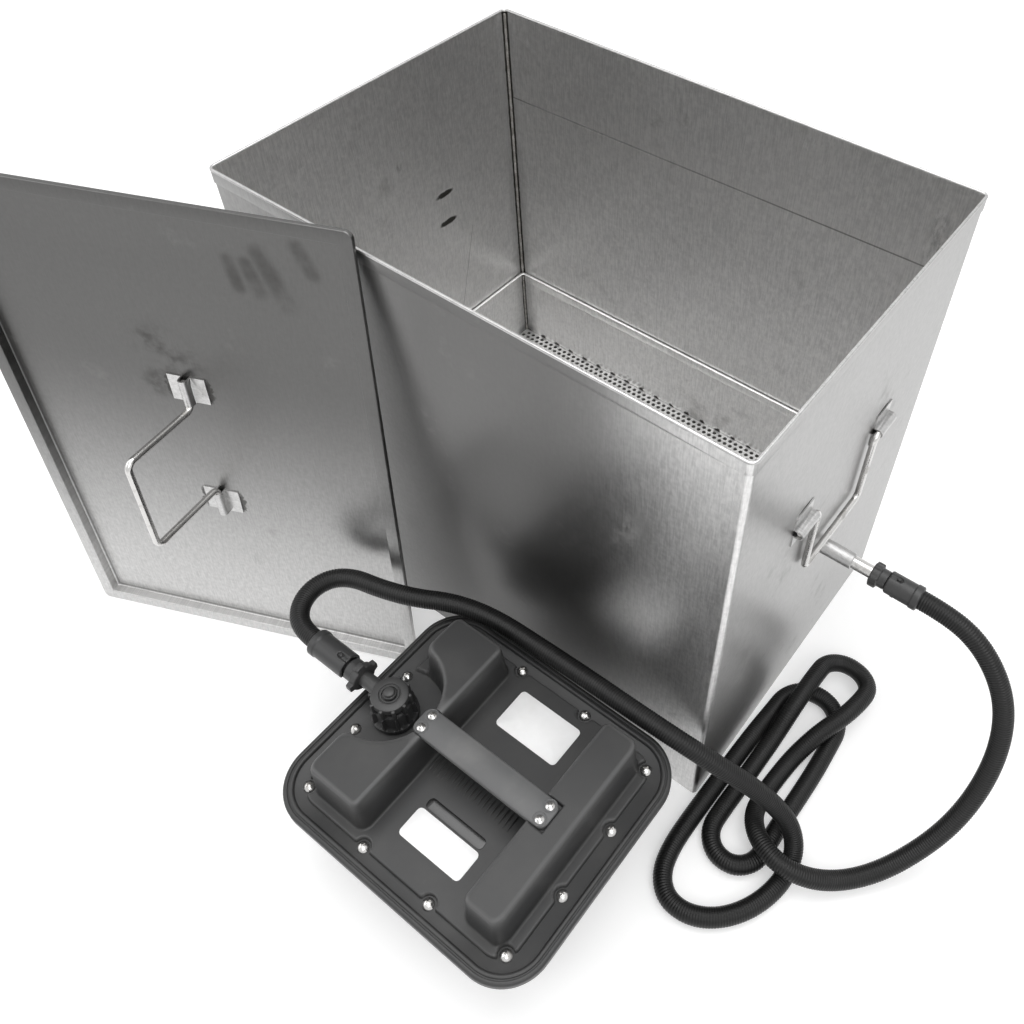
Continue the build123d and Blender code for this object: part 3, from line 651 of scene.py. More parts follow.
@dataclass(frozen=True)
class BareLabel:
    """A bare printed-film plate with a faint mottle and soiled edges."""

    name: str
    level: float
    roughness: float

    def material(self) -> bpy.types.Material:
        """Build the material.

        Returns:
            The material.
        """
        shade = Shading(self.name)
        point = shade.point()
        mottle = shade.noise(point, 140.0, 4.0)
        soil = shade.noise(point, 30.0, 3.0).rise(0.5, 0.8)
        base = shade.blend(mottle, grey(self.level * 0.95), grey(self.level * 1.03))
        soiled = shade.blend(soil * 0.35, base, grey(self.level * 0.8, 0.05))
        return shade.close(
            {
                "Base Color": soiled,
                "Roughness": self.roughness + 0.12 * (mottle - 0.5),
                "Coat Weight": 0.15,
                "Normal": shade.relief(mottle, 0.00003, 0.3),
            }
        )


@dataclass(frozen=True)
class SoftRubber:
    """Matt rubber for feet and seals."""

    name: str
    colour: tuple[float, float, float, float]

    def material(self) -> bpy.types.Material:
        """Build the material.

        Returns:
            The material.
        """
        shade = Shading(self.name)
        point = shade.point()
        grain = shade.noise(point, 900.0, 3.0)
        bloom = shade.noise(point, 80.0, 3.0).rise(0.45, 0.75)
        pale = tuple(min(1.0, value * 1.6 + 0.01) for value in self.colour[:3]) + (1.0,)
        return shade.close(
            {
                "Base Color": shade.blend(bloom, self.colour, pale),
                "Roughness": 0.7 + 0.15 * grain,
                "Normal": shade.relief(grain, 0.00005, 0.5),
            }
        )


@dataclass
class Sheet:
    """A surface on a grid of points, in millimetres."""

    points: np.ndarray
    wrap_rows: bool = False
    wrap_columns: bool = False
    uv: np.ndarray | None = None
    wear_and_highlight: np.ndarray | None = None

    def faces(self) -> np.ndarray:
        """Four corner numbers of every cell of the grid.

        Returns:
            One row for each cell.
        """
        rows, columns = self.points.shape[:2]
        row = np.arange(rows if self.wrap_rows else rows - 1)
        column = np.arange(columns if self.wrap_columns else columns - 1)
        row, column = np.meshgrid(row, column, indexing="ij")
        below, right = (row + 1) % rows, (column + 1) % columns
        near, far = row * columns, below * columns
        corners = [near + column, far + column, far + right, near + right]
        return np.stack(corners, axis=-1).reshape(-1, 4)


def make_piece(
    name: str, sheets: list[Sheet], material: bpy.types.Material, sharp: float = 40.0
) -> bpy.types.Object:
    """Join grid surfaces into one object with closed poles and outward faces.

    Args:
        name: the piece's name.
        sheets: its surfaces, in millimetres.
        material: its finish.
        sharp: edges over this many degrees stay sharp.

    Returns:
        The object, at the origin.
    """
    starts = np.cumsum([0] + [sheet.points.shape[0] * sheet.points.shape[1] for sheet in sheets])
    points = np.concatenate([sheet.points.reshape(-1, 3) for sheet in sheets]) * MM
    faces = np.concatenate([sheet.faces() + start for sheet, start in zip(sheets, starts)])
    mesh = bpy.data.meshes.new(name)
    mesh.from_pydata(points.tolist(), [], faces.tolist())
    if all(sheet.uv is not None for sheet in sheets):
        uv = np.concatenate([sheet.uv.reshape(-1, 2) for sheet in sheets]) * MM
        layer = mesh.uv_layers.new(name="metres")
        layer.data.foreach_set("uv", uv[faces.reshape(-1)].astype(np.float32).reshape(-1))
    if any(sheet.wear_and_highlight is not None for sheet in sheets):
        wear_and_highlight = [np.zeros(sheet.points.shape[:2]) if sheet.wear_and_highlight is None else sheet.wear_and_highlight for sheet in sheets]
        layer = mesh.attributes.new("edge_wear_and_highlight", "FLOAT", "POINT")
        values = np.concatenate([part.reshape(-1) for part in wear_and_highlight])
        layer.data.foreach_set("value", values.astype(np.float32))
    shell = bmesh.new()
    shell.from_mesh(mesh)
    bmesh.ops.remove_doubles(shell, verts=shell.verts, dist=1e-7)
    bmesh.ops.recalc_face_normals(shell, faces=shell.faces)
    shell.to_mesh(mesh)
    shell.free()
    mesh.polygons.foreach_set("use_smooth", np.ones(len(mesh.polygons), bool))
    mesh.set_sharp_from_angle(angle=math.radians(sharp))
    mesh.materials.append(material)
    piece = bpy.data.objects.new(name, mesh)
    bpy.context.scene.collection.objects.link(piece)
    return piece


def placed(piece: bpy.types.Object, body: str, replaced: tuple[str, ...] = ()) -> bpy.types.Object:
    """Let a piece ride on a body and hide the CAD nodes that it stands for.

    Args:
        piece: the piece.
        body: the body it moves with.
        replaced: CAD nodes that it stands for.

    Returns:
        The same piece.
    """
    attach(piece, body)
    if replaced:
        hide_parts(*replaced)
    log.info("%s rides on %s, %d faces", piece.name, body, len(piece.data.polygons))
    return piece


def unit(vectors: np.ndarray) -> np.ndarray:
    """Vectors of length one."""
    return vectors / np.linalg.norm(vectors, axis=-1, keepdims=True)


def tube(
    path: np.ndarray, radii: np.ndarray, reference: np.ndarray, sides: int, along: np.ndarray | None = None
) -> Sheet:
    """A round tube: circles square to the path, turned so that one side faces away from the reference.

    Args:
        path: points of the middle line.
        radii: the radius at each point.
        reference: a vector that the path never runs along.
        sides: points round each circle.
        along: distance along the path, for the UV map.

    Returns:
        The tube's surface.
    """
    tangent = unit(np.gradient(path, axis=0))
    side = unit(np.cross(tangent, reference))
    up = np.cross(side, tangent)
    angle = np.linspace(0, 2 * np.pi, sides, endpoint=False)
    ring = side[:, None] * np.cos(angle)[:, None] + up[:, None] * np.sin(angle)[:, None]
    points = path[:, None] + radii[:, None, None] * ring
    uv = None
    if along is not None:
        uv = np.stack(np.broadcast_arrays(angle[None], along[:, None]), axis=-1)
    return Sheet(points, wrap_columns=True, uv=uv)


def turned(
    profile: "tuple | np.ndarray", origin: tuple, sides: int,
    axis: np.ndarray = UP, side: np.ndarray = RIGHT, closed: bool = False,
) -> Sheet:
    """A turned surface: the profile's radius and height carried round an axis.

    Args:
        profile: rows of radius and height.
        origin: the axis's zero height.
        sides: points round each circle.
        axis: unit vector up the axis.
        side: unit vector square to the axis.
        closed: whether the profile's last row joins its first.

    Returns:
        The surface.
    """
    radius, height = np.array(profile).T[..., None, None]
    angle = np.linspace(0, 2 * np.pi, sides, endpoint=False)
    ring = np.cos(angle)[:, None] * side + np.sin(angle)[:, None] * np.cross(axis, side)
    points = np.array(origin) + radius * ring + height * axis
    return Sheet(points, wrap_rows=closed, wrap_columns=True)


def carried_round(section: np.ndarray, half: tuple, corner: float, steps: int) -> np.ndarray:
    """A section carried round a rounded rectangle, which is a quarter circle about each corner's centre.

    Args:
        section: rows of distance outwards and height.
        half: half length and half width at no distance.
        corner: corner radius there.
        steps: points on each corner.

    Returns:
        Points by row and by place round the rectangle.
    """
    out, height = section.T[..., None]
    radius = np.maximum(corner + out, 0.0)
    quarter = np.linspace(0, np.pi / 2, steps)
    angle = np.concatenate([quarter + turn * np.pi / 2 for turn in range(4)])
    sign_x = np.repeat([1.0, -1.0, -1.0, 1.0], steps)
    sign_y = np.repeat([1.0, 1.0, -1.0, -1.0], steps)
    x = sign_x * (half[0] + out - radius) + radius * np.cos(angle)
    y = sign_y * (half[1] + out - radius) + radius * np.sin(angle)
    return np.stack(np.broadcast_arrays(x, y, height), axis=-1)


def smoothed(name: str, node: bpy.types.Object, material: bpy.types.Material) -> bpy.types.Object:
    """A copy of a CAD node with its triangles joined, so that its rounded faces shade smoothly.

    Args:
        name: the piece's name.
        node: the CAD node.
        material: its finish.

    Returns:
        The object, at the origin.
    """
    mesh = bpy.data.meshes.new(name)
    shell = bmesh.new()
    shell.from_mesh(node.data)
    bmesh.ops.remove_doubles(shell, verts=shell.verts, dist=2e-6)
    shell.to_mesh(mesh)
    shell.free()
    mesh.polygons.foreach_set("use_smooth", np.ones(len(mesh.polygons), bool))
    mesh.set_sharp_from_angle(angle=math.radians(32.0))
    mesh.materials.clear()
    mesh.materials.append(material)
    piece = bpy.data.objects.new(name, mesh)
    bpy.context.scene.collection.objects.link(piece)
    flat = piece.modifiers.new("flat_faces", "WEIGHTED_NORMAL")
    flat.mode = "FACE_AREA"
    flat.weight = 100
    flat.keep_sharp = True
    return piece


def box_distance(p: np.ndarray, q: np.ndarray, half: tuple, corner: float) -> np.ndarray:
    """Signed distance to a rounded rectangle about the origin, negative inside it.

    Args:
        p: places across.
        q: places along.
        half: half length and half width.
        corner: corner radius.

    Returns:
        The distance of each place.
    """
    x, y = abs(p) - half[0] + corner, abs(q) - half[1] + corner
    return np.hypot(np.maximum(x, 0), np.maximum(y, 0)) + np.minimum(np.maximum(x, y), 0) - corner


def soft_larger(first: np.ndarray, second: np.ndarray, reach: float) -> np.ndarray:
    """The larger of two distances, with a parabola over the crease where they come within the reach."""
    return np.maximum(first, second) + np.maximum(reach - abs(first - second), 0) ** 2 / (4 * reach)


def grid_lines(half: float, step: float, edges: tuple[tuple[float, float], ...]) -> np.ndarray:
    """Grid lines from -half to half, closer together near the edges of a form.

    Args:
        half: half the span.
        step: the widest spacing.
        edges: first and last place of each stretch that gets half-millimetre lines.

    Returns:
        The lines in order.
    """
    lines = [np.linspace(-half, half, int(2 * half / step) + 1)]
    lines += [np.arange(first, last + 0.01, 0.5) for first, last in edges]
    merged = np.unique(np.concatenate(lines).round(3))
    return merged[np.concatenate([[True], np.diff(merged) > 0.2])]


def slab(centre: tuple, half: tuple, corner: float, heights: tuple, edge: float) -> Sheet:
    """A closed flat plate: a section from the middle of its base, round its edge, to the middle of its top.

    Args:
        centre: the middle, across and along.
        half: half length and half width.
        corner: corner radius.
        heights: of the base and the top.
        edge: rounding of the top edge.

    Returns:
        The plate's surface.
    """
    low, high = heights
    inset = min(half)
    section = np.array(
        [
            [-inset, low], [0.0, low], [0.0, high - edge],
            [-0.3 * edge, high - 0.3 * edge], [-edge, high], [-inset, high],
        ]
    )
    return Sheet(carried_round(section, half, corner, 6) + (*centre, 0.0), wrap_columns=True)


def bent_path(corners: np.ndarray, radius: float, steps: int) -> np.ndarray:
    """Straight runs joined by arcs of one radius that touch both runs of each corner.

    Args:
        corners: the bar's corner points with its two ends.
        radius: bend radius of the middle line.
        steps: points on each arc.

    Returns:
        Points of the middle line.
    """
    into = unit(corners[:-2] - corners[1:-1])
    away = unit(corners[2:] - corners[1:-1])
    half = np.arccos(np.clip((into * away).sum(-1), -1, 1)) / 2
    reach = radius / np.tan(half)
    start = corners[1:-1] + into * reach[:, None]
    centre = corners[1:-1] + unit(into + away) * (radius / np.sin(half))[:, None]
    turn = np.linspace(0, 1, steps) * (np.pi - 2 * half)[:, None]
    outward = (start - centre) / radius
    swing = np.cos(turn)[..., None] * outward[:, None] - np.sin(turn)[..., None] * into[:, None]
    arcs = centre[:, None] + radius * swing
    return np.concatenate([corners[:1], arcs.reshape(-1, 3), corners[-1:]])


Finish = BrushedSteel | PolishedBar | WeldOxide | MouldedPlastic | HoseRubber | BareLabel | SoftRubber


def made(finish: Finish) -> bpy.types.Material:
    """A field that builds the finish's material when the finishes are made."""
    return field(default_factory=finish.material)


@dataclass
class Finishes:
    """Every finish of the melter, made once."""

    walls: bpy.types.Material = made(BrushedSteel("brushed_walls", marks=Marks.TANK))
    basket: bpy.types.Material = made(BrushedSteel("brushed_basket", level=0.78, marks=Marks.BASKET))
    lid: bpy.types.Material = made(
        BrushedSteel("brushed_lid", Grain.UV_LENGTHWISE, level=0.6, smudges=0.4, marks=Marks.LID)
    )
    # Painted shade: the tank's floor under the basket is a dark copy of the sheet steel.
    shaded_floor: bpy.types.Material = made(BrushedSteel("painted_shade_floor", level=0.22, roughness=0.5, smudges=0.8))
    fittings: bpy.types.Material = made(BrushedSteel("plain_steel", Grain.ALONG, level=0.55, roughness=0.3))
    bar: bpy.types.Material = made(PolishedBar("polished_bar"))
    pipe: bpy.types.Material = made(BrushedSteel("dull_pipe", Grain.ALONG, level=0.5, roughness=0.42))
    oxide: bpy.types.Material = made(WeldOxide("weld_oxide"))
    cover: bpy.types.Material = made(MouldedPlastic("moulded_cover", rounding=0.0, rubbed_and_highlit_edges=True))
    # Painted sheen: the strap is lighter than the cover because its top faces the light.
    strap: bpy.types.Material = made(MouldedPlastic("moulded_strap", level=0.105, rounding=0.0))
    water_tank: bpy.types.Material = made(MouldedPlastic("moulded_water_tank"))
    cap: bpy.types.Material = made(
        MouldedPlastic("moulded_cap", level=0.04, roughness=0.4, grain=0.00004, rounding=0.0006)
    )
    screws: bpy.types.Material = made(PolishedBar("bright_screws"))
    sieve: bpy.types.Material = made(
        BrushedSteel("perforated_sheet", level=0.8, smudges=0.2, metallic=0.75)
    )
    hose: bpy.types.Material = made(HoseRubber("ribbed_hose", HOSE_PITCH * MM))
    white_label: bpy.types.Material = made(BareLabel("bare_white_label", 0.9, 0.42))
    dark_label: bpy.types.Material = made(BareLabel("bare_dark_panel", 0.012, 0.22))
    foot: bpy.types.Material = made(SoftRubber("foot_rubber", grey(0.03)))
    seal: bpy.types.Material = made(SoftRubber("seal_rubber", (0.3, 0.09, 0.06, 1.0)))

    def dress(self, nodes: dict[str, bpy.types.Object]) -> None:
        """Give each CAD node that is shown as it is its finish.

        Args:
            nodes: the frame's node objects by name.
        """
        plain = {
            "tank_floor": self.shaded_floor,
            "basket_rails": self.fittings,
            "wax_outlet_spout": self.fittings,
            "element_plate": self.fittings,
            "heating_element": self.fittings,
            "filler_neck": self.cap,
            "thermostat": self.cap,
            "generator_feet": self.foot,
            "cover_gasket": self.seal,
        }
        for name, material in plain.items():
            nodes[name].data.materials.clear()
            nodes[name].data.materials.append(material)


@dataclass
class LidPan:
    """The lid: a pan pressed from sheet, with a turned-down lip, leaning on the tank."""

    middle: tuple = (-231.45, -277.14, 251.78)
    across: tuple = (0.91636, 0.40035, 0.0)
    up: tuple = (-0.04602, 0.10533, 0.99337)
    width: float = 356.0
    length: float = 506.0
    corner: float = 6.0
    flange: float = 12.0
    recess: float = 10.0
    lip: float = 4.0
    sheet: float = 1.0
    rim_round: float = 1.2
    bend_round: float = 1.5
    face_ring: float = 60.0

    def place(self, local: np.ndarray) -> np.ndarray:
        """Points given across, up and out of the lid, moved to where it leans.

        Args:
            local: distances across, up and out of the lid.

        Returns:
            The points in the melter's frame.
        """
        outward = np.cross(self.across, self.up)
        frame = np.array([self.across, self.up, outward])
        return np.array(self.middle) + local @ frame

    def build(self, finishes: Finishes) -> None:
        """Carry the pan's section round a rounded rectangle, from its back's middle to its face's middle.

        Args:
            finishes: the melter's finishes.
        """
        turn = np.linspace(0, np.pi / 2, 5)
        across, up = np.cos(turn), np.sin(turn)
        rim, bend, flange = self.rim_round, self.bend_round, -self.flange
        edge = np.stack([-rim + rim * across, -rim + rim * up], axis=-1)
        step = np.stack([flange + bend - bend * up, -bend + bend * across], axis=-1)
        foot = np.stack([flange - bend + bend * across, -self.recess + bend - bend * up], axis=-1)
        middle, ring = -self.width / 2, -self.face_ring
        face = np.concatenate([edge, step, foot, [[ring, -self.recess], [middle, -self.recess]]])
        inner, under = flange + self.sheet, -self.recess - self.sheet
        back = [
            [middle, under], [ring, under], [inner, under], [inner, -self.sheet],
            [-self.sheet, -self.sheet], [-self.sheet, -self.lip], [0.0, -self.lip],
        ]
        section = np.concatenate([back, face])
        local = carried_round(section, (self.width / 2, self.length / 2), self.corner, 6)
        pan = Sheet(self.place(local), wrap_columns=True, uv=local[..., :2])
        placed(make_piece("lid_pan", [pan], finishes.lid, 50.0), "lid", ("lid_panel",))


@dataclass
class BailHandle:
    """A bent round bar that hangs in two saddles."""

    name: str
    node: str
    body: str
    hinge: tuple
    along: tuple
    arm: tuple
    half_width: float = 48.0
    arm_length: float = 78.0
    end_reach: float = 78.0
    radius: float = 3.0
    bend: float = 7.0
    chamfer: float = 0.7
    tip: float = 0.01

    def build(self, finishes: Finishes) -> None:
        """Carry a circle along the bent bar; the ends are chamfered and closed.

        Args:
            finishes: the melter's finishes.
        """
        along, arm, hinge = np.array(self.along), np.array(self.arm), np.array(self.hinge)
        steps = [
            (self.end_reach, 0.0), (self.half_width, 0.0), (self.half_width, self.arm_length),
            (-self.half_width, self.arm_length), (-self.half_width, 0.0), (-self.end_reach, 0.0),
        ]
        corners = np.array([hinge + along * x + arm * y for x, y in steps])
        path = bent_path(corners, self.bend, 9)
        ends = np.array([0.0, 0.0, self.chamfer])
        lead = path[0] - along * ends[:, None]
        tail = path[-1] + along * ends[::-1, None]
        path = np.concatenate([lead, path[1:-1], tail])
        radii = np.full(len(path), self.radius)
        radii[[0, -1]] = self.tip
        radii[[1, -2]] = self.radius - self.chamfer
        # The end points move off their neighbours, so that the path has a direction there.
        path[0] += along * self.tip
        path[-1] -= along * self.tip
        bar = tube(path, radii, np.cross(along, arm), 24)
        placed(make_piece(self.name, [bar], finishes.bar), self.body, (self.node,))


@dataclass
class SmoothShells:
    """The folded and moulded pieces that keep the CAD form, with their rounded faces shaded smoothly."""

    def build(self, finishes: Finishes, nodes: dict[str, bpy.types.Object]) -> None:
        """Copy each node with joined faces.

        Args:
            finishes: the melter's finishes.
            nodes: the frame's node objects by name.
        """
        plan = (
            ("tank_wrap", "folded_tank", finishes.walls, "melter", "brushed_stainless"),
            ("sieve_basket", "folded_basket", finishes.basket, "basket", "brushed_stainless"),
            ("right_handle_brackets", "right_saddles", finishes.fittings, "melter", "brushed_stainless"),
            ("left_handle_brackets", "left_saddles", finishes.fittings, "melter", "brushed_stainless"),
            ("lid_handle_brackets", "lid_saddles", finishes.fittings, "lid", "brushed_stainless"),
            ("generator_tank", "moulded_water_tank", finishes.water_tank, "melter", "black_plastic"),
            ("cap_ring", "moulded_cap_ring", finishes.cap, "cap_ring", "cap_plastic"),
        )
        for node, name, material, body, slot in plan:
            placed(smoothed(name, nodes[node], material), body, (node,))


@dataclass
class MouldedCover:
    """The generator's cover: a lipped flange ring round a deck with two drafted blocks and a row of ribs."""

    centre: tuple = (115.0, -314.0)
    half: tuple = (136.0, 117.0)
    corner: float = 42.0
    land: float = 111.5
    lip_top: float = 114.5
    deck: float = 115.5
    deck_half: tuple = (114.0, 99.0)
    deck_corner: float = 20.0
    deck_edge: tuple = (14.0, 0.3, 1.4)
    block_top: float = 158.5
    block_ends: tuple = ((-103.0, -42.0), (64.0, 104.0))
    block_half: float = 91.0
    block_corner: float = 9.0
    block_edge: tuple = (4.0, 2.2, 4.0)
    cap_place: float = -98.0
    notch: float = 43.0
    pocket: float = 6.5
    under: float = 109.0
    tub: tuple = (0.86, 112.0)
    strap_place: tuple = (12.5, -2.0)
    strap_half: tuple = (71.1, 13.1)
    strap_seat: float = 153.5
    rib_count: int = 20
    rib_pitch: float = 4.8

    def wall(
        self, inward: np.ndarray, floor: np.ndarray, top: float, edge: tuple
    ) -> tuple[np.ndarray, np.ndarray]:
        """A drafted wall: floor, hollow arc, straight slope, a round arc that gets rubbed and a painted
        highlight, and the level top.

        Args:
            inward: distance inside the wall's line at the land's level.
            floor: the height it stands on.
            top: the height it reaches.
            edge: its lean in degrees, and the radii of the hollow arc and of the round arc.

        Returns:
            The height at each place, and how much it is rubbed and painted with a highlight.
        """
        draft, fillet, rounding = edge
        lean, level = math.tan(math.radians(draft)), math.cos(math.radians(draft))
        ridge = (top - rounding - self.land) * lean + rounding / level
        foot = (floor + fillet - self.land) * lean - fillet / level
        lower = floor + fillet - np.sqrt(np.maximum(fillet**2 - (inward - foot) ** 2, 0))
        upper = top - rounding + np.sqrt(np.maximum(rounding**2 - (ridge - inward) ** 2, 0))
        slope = self.land + inward / lean
        height = np.where(inward < foot, floor, np.where(inward < foot + fillet * level, lower, slope))
        height = np.where(inward > ridge, top, np.where(inward > ridge - rounding * level, upper, height))
        # The mask peaks on the round arc: rubbed wear there, with a painted highlight.
        return height, np.maximum(1 - abs(inward - ridge + 0.62 * rounding) / (0.62 * rounding), 0)

    def heights(self, p: np.ndarray, q: np.ndarray, screws: np.ndarray) -> tuple[np.ndarray, np.ndarray]:
        """The heights of the deck and its blocks, less the cap's notch and the screws' pockets.

        Args:
            p: places across the cover.
            q: places along it.
            screws: the flange screws' places.

        Returns:
            The height at each place, and how much it is rubbed and painted with a highlight.
        """
        to_cap = np.hypot(p - self.cap_place, q)
        to_screw = np.min(np.hypot(p[..., None] - screws[:, 0], q[..., None] - screws[:, 1]), axis=-1)
        rim = box_distance(p, q, self.deck_half, self.deck_corner)
        rim = soft_larger(soft_larger(rim, self.notch - to_cap, 1.0), self.pocket - to_screw, 2.0)
        floor = np.where(to_cap < self.notch + 2, self.land - 0.05, self.under)
        deck, deck_wear_and_highlight = self.wall(-rim, floor, self.deck, self.deck_edge)
        sides = [
            box_distance(p - (end + start) / 2, q, ((end - start) / 2, self.block_half), self.block_corner)
            for start, end in self.block_ends
        ]
        outline = soft_larger(np.minimum(*sides), self.notch - to_cap, 9.0)
        outline = soft_larger(outline, self.pocket - to_screw, 5.0)
        raised, block_wear_and_highlight = self.wall(-outline, deck, self.block_top, self.block_edge)
        beside_p = abs(p - self.strap_place[0]) - self.strap_half[0]
        beside_q = abs(q - self.strap_place[1]) - self.strap_half[1]
        beside = np.maximum(beside_p, beside_q)
        seat = np.where(beside < 0, self.strap_seat, self.block_top - 0.8 + beside)
        return np.minimum(raised, seat), np.maximum(block_wear_and_highlight, 0.6 * deck_wear_and_highlight * (raised == deck))

    def lines(self, axis: int, spans: tuple) -> np.ndarray:
        """Grid lines that are close together at the blocks' walls, the strap's seat and the deck's rim.

        Args:
            axis: 0 across the cover, 1 along it.
            spans: where the blocks begin and end on that axis.

        Returns:
            The lines in order.
        """
        middle, seat, rim = self.strap_place[axis], self.strap_half[axis], self.deck_half[axis]
        walls = tuple((start - 2.0, start + 8.0) for start, _ in spans)
        walls += tuple((end - 8.0, end + 2.0) for _, end in spans)
        seats = tuple((middle + side * seat - 1, middle + side * seat + 1) for side in (-1, 1))
        return grid_lines(rim + 1.5, 1.15, walls + seats + ((-rim, 3.0 - rim), (rim - 3.0, rim)))

    def deck_and_blocks(self, screws: np.ndarray) -> list[Sheet]:
        """A grid of heights, closed below by its own rim carried in to a shallow tub.

        Args:
            screws: the flange screws' places.

        Returns:
            The top surface and the underside.
        """
        p = self.lines(0, self.block_ends)
        q = self.lines(1, ((-self.block_half, self.block_half),))
        across, along = np.meshgrid(p, q, indexing="ij")
        shift = np.array([*self.centre, 0.0])
        height, wear_and_highlight = self.heights(across, along, screws)
        top = np.stack([across, along, height], axis=-1)
        loop = np.concatenate([top[:-1, 0], top[-1, :-1], top[:0:-1, -1], top[0, :0:-1]])
        rows = [loop]
        inset, roof = self.tub
        foot = self.under - 1.0
        for scale, level in ((1.0, foot), (inset, foot), (inset, roof), (0.0, roof)):
            rows.append(loop * (scale, scale, 0.0) + (0.0, 0.0, level))
        return [Sheet(top + shift, wear_and_highlight=wear_and_highlight), Sheet(np.stack(rows) + shift, wrap_columns=True)]

    def flange(self) -> Sheet:
        """A ring: the flange's section, with its rounded lip and its groove, carried round the outline.

        Returns:
            The ring's surface.
        """
        turn = np.linspace(0, np.pi / 2, 6)
        outer = np.stack([2.6 - 2.6 * np.cos(turn), self.lip_top - 2.6 + 2.6 * np.sin(turn)], axis=-1)
        inner = np.stack([7.0 + 2.0 * np.sin(turn), self.lip_top - 2.0 + 2.0 * np.cos(turn)], axis=-1)
        groove = np.array([[3.6, 0.0], [3.9, -0.3], [4.1, -1.2], [5.0, -1.2], [5.2, -0.3], [5.5, 0.0]])
        land = np.array(
            [
                [9.2, 0.25], [9.7, 0.0], [30.0, 0.0], [30.0, -2.0],
                [14.0, -2.0], [14.0, -6.0], [0.8, -6.0], [0.0, -5.2],
            ]
        )
        section = np.concatenate([outer, groove + (0.0, self.lip_top), inner, land + (0.0, self.land)])
        points = carried_round(section * (-1.0, 1.0), self.half, self.corner, 24)
        return Sheet(points + (*self.centre, 0.0), wrap_rows=True, wrap_columns=True)

    def ribs(self) -> list[Sheet]:
        """Ramped ribs: half cosines across, whose height falls from the strap's side to the front.

        Returns:
            One surface for each rib.
        """
        run = np.linspace(0, 1, 8)[:, None]
        turn = np.linspace(-1, 1, 7)[None]
        rise = np.where((run == 0) | (run == 1), 0.0, 0.25 + 2.3 * (1 - run))
        height = self.deck - 0.2 + (rise + 0.2 * (rise > 0)) * np.cos(turn * np.pi / 2)
        start = self.centre[0] + 3.0 - self.rib_pitch * (self.rib_count - 1) / 2
        along = self.centre[1] - 5.0 - 16.5 * run
        rib = np.stack(np.broadcast_arrays(0.95 * turn, along, height), axis=-1)
        return [
            Sheet(rib + (start + self.rib_pitch * number, 0.0, 0.0), wrap_columns=True)
            for number in range(self.rib_count)
        ]

    def build(self, finishes: Finishes, screws: np.ndarray) -> None:
        """Join the ring, the deck with its blocks and the ribs.

        Args:
            finishes: the melter's finishes.
            screws: the flange screws' places, from the cover's middle.
        """
        sheets = [self.flange(), *self.deck_and_blocks(screws), *self.ribs()]
        piece = make_piece("moulded_cover", sheets, finishes.cover, 62.0)
        placed(piece, "melter", ("generator_cover",))


@dataclass
class CarryStrap:
    """The flat strap between the cover's blocks, with a collar round each of its four screws."""

    centre: tuple = (127.5, -316.0)
    half_length: float = 70.5
    half_width: float = 12.5
    base: float = 153.5
    top: float = 158.5

    def build(self, finishes: Finishes, places: tuple) -> None:
        """A thick plate with rounded edges and ends, and a low turned collar about each screw.

        Args:
            finishes: the melter's finishes.
            places: the screws' places.
        """
        sheets = [slab(self.centre, (self.half_length, self.half_width), 7.0, (self.base, self.top), 1.4)]
        collar = ((4.7, -0.4), (4.8, 0.25), (5.1, 0.42), (5.5, 0.42), (5.8, 0.2), (5.9, -0.4))
        sheets += [turned(collar, (*place, self.top), 32) for place in places]
        piece = make_piece("moulded_strap", sheets, finishes.strap, 50.0)
        placed(piece, "melter", ("carry_strap",))


@dataclass
class DomedScrews:
    """Bright domed screw heads with a cross recess."""

    name: str
    node: str
    places: tuple
    seat: float
    radius: float
    height: float
    edge: float = 0.8

    def build(self, finishes: Finishes) -> None:
        """Map a square grid onto a disc, lift it to a dome, sink two crossed slots and close the side.

        Args:
            finishes: the melter's finishes.
        """
        line = np.array([-1.0, -0.9, -0.75, -0.6, -0.5, -0.46, -0.3, -0.13, -0.1, 0.0])
        line = np.concatenate([line, -line[-2::-1]])
        u, v = np.meshgrid(line, line, indexing="ij")
        x = u * np.sqrt(1 - v * v / 2)
        y = v * np.sqrt(1 - u * u / 2)
        dome = self.edge + (self.height - self.edge) * (1 - x * x - y * y)
        inner, outer = np.minimum(abs(u), abs(v)), np.maximum(abs(u), abs(v))
        recess = (inner < 0.11) & (outer < 0.48)
        head = np.stack([self.radius * x, self.radius * y, self.seat + dome - 1.3 * recess], axis=-1)
        skirt = ((self.radius - 0.2, 0.0), (self.radius, 0.2), (self.radius, self.edge))
        side = turned(skirt, (0.0, 0.0, self.seat), 36)
        sheets = []
        for place in self.places:
            shift = np.array([*place, 0.0])
            sheets += [Sheet(head + shift), Sheet(side.points + shift, wrap_columns=True)]
        placed(make_piece(self.name, sheets, finishes.screws, 50.0), "melter", (self.node,))


@dataclass
class BarePlates:
    """The cover's label, rating plate and dark panel, all without print."""

    centre: tuple = (115.0, -314.0)
    floor: float = 115.3

    def build(self, finishes: Finishes) -> None:
        """Lay three thin rounded plates on the cover's deck."""
        plan = (
            ("bare_label", (11.5, 63.5), (66.0, 39.0), finishes.white_label),
            ("bare_rating_plate", (11.5, -60.5), (65.5, 27.0), finishes.white_label),
            ("bare_dark_panel", (11.5, -40.5), (61.0, 10.0), finishes.dark_label),
        )
        for name, place, size, material in plan:
            centre = (self.centre[0] + place[0], self.centre[1] + place[1])
            half = (size[0] / 2, size[1] / 2)
            plate = slab(centre, half, 4.0, (self.floor, self.floor + 0.65), 0.15)
            placed(make_piece(name, [plate], material, 60.0), "melter")


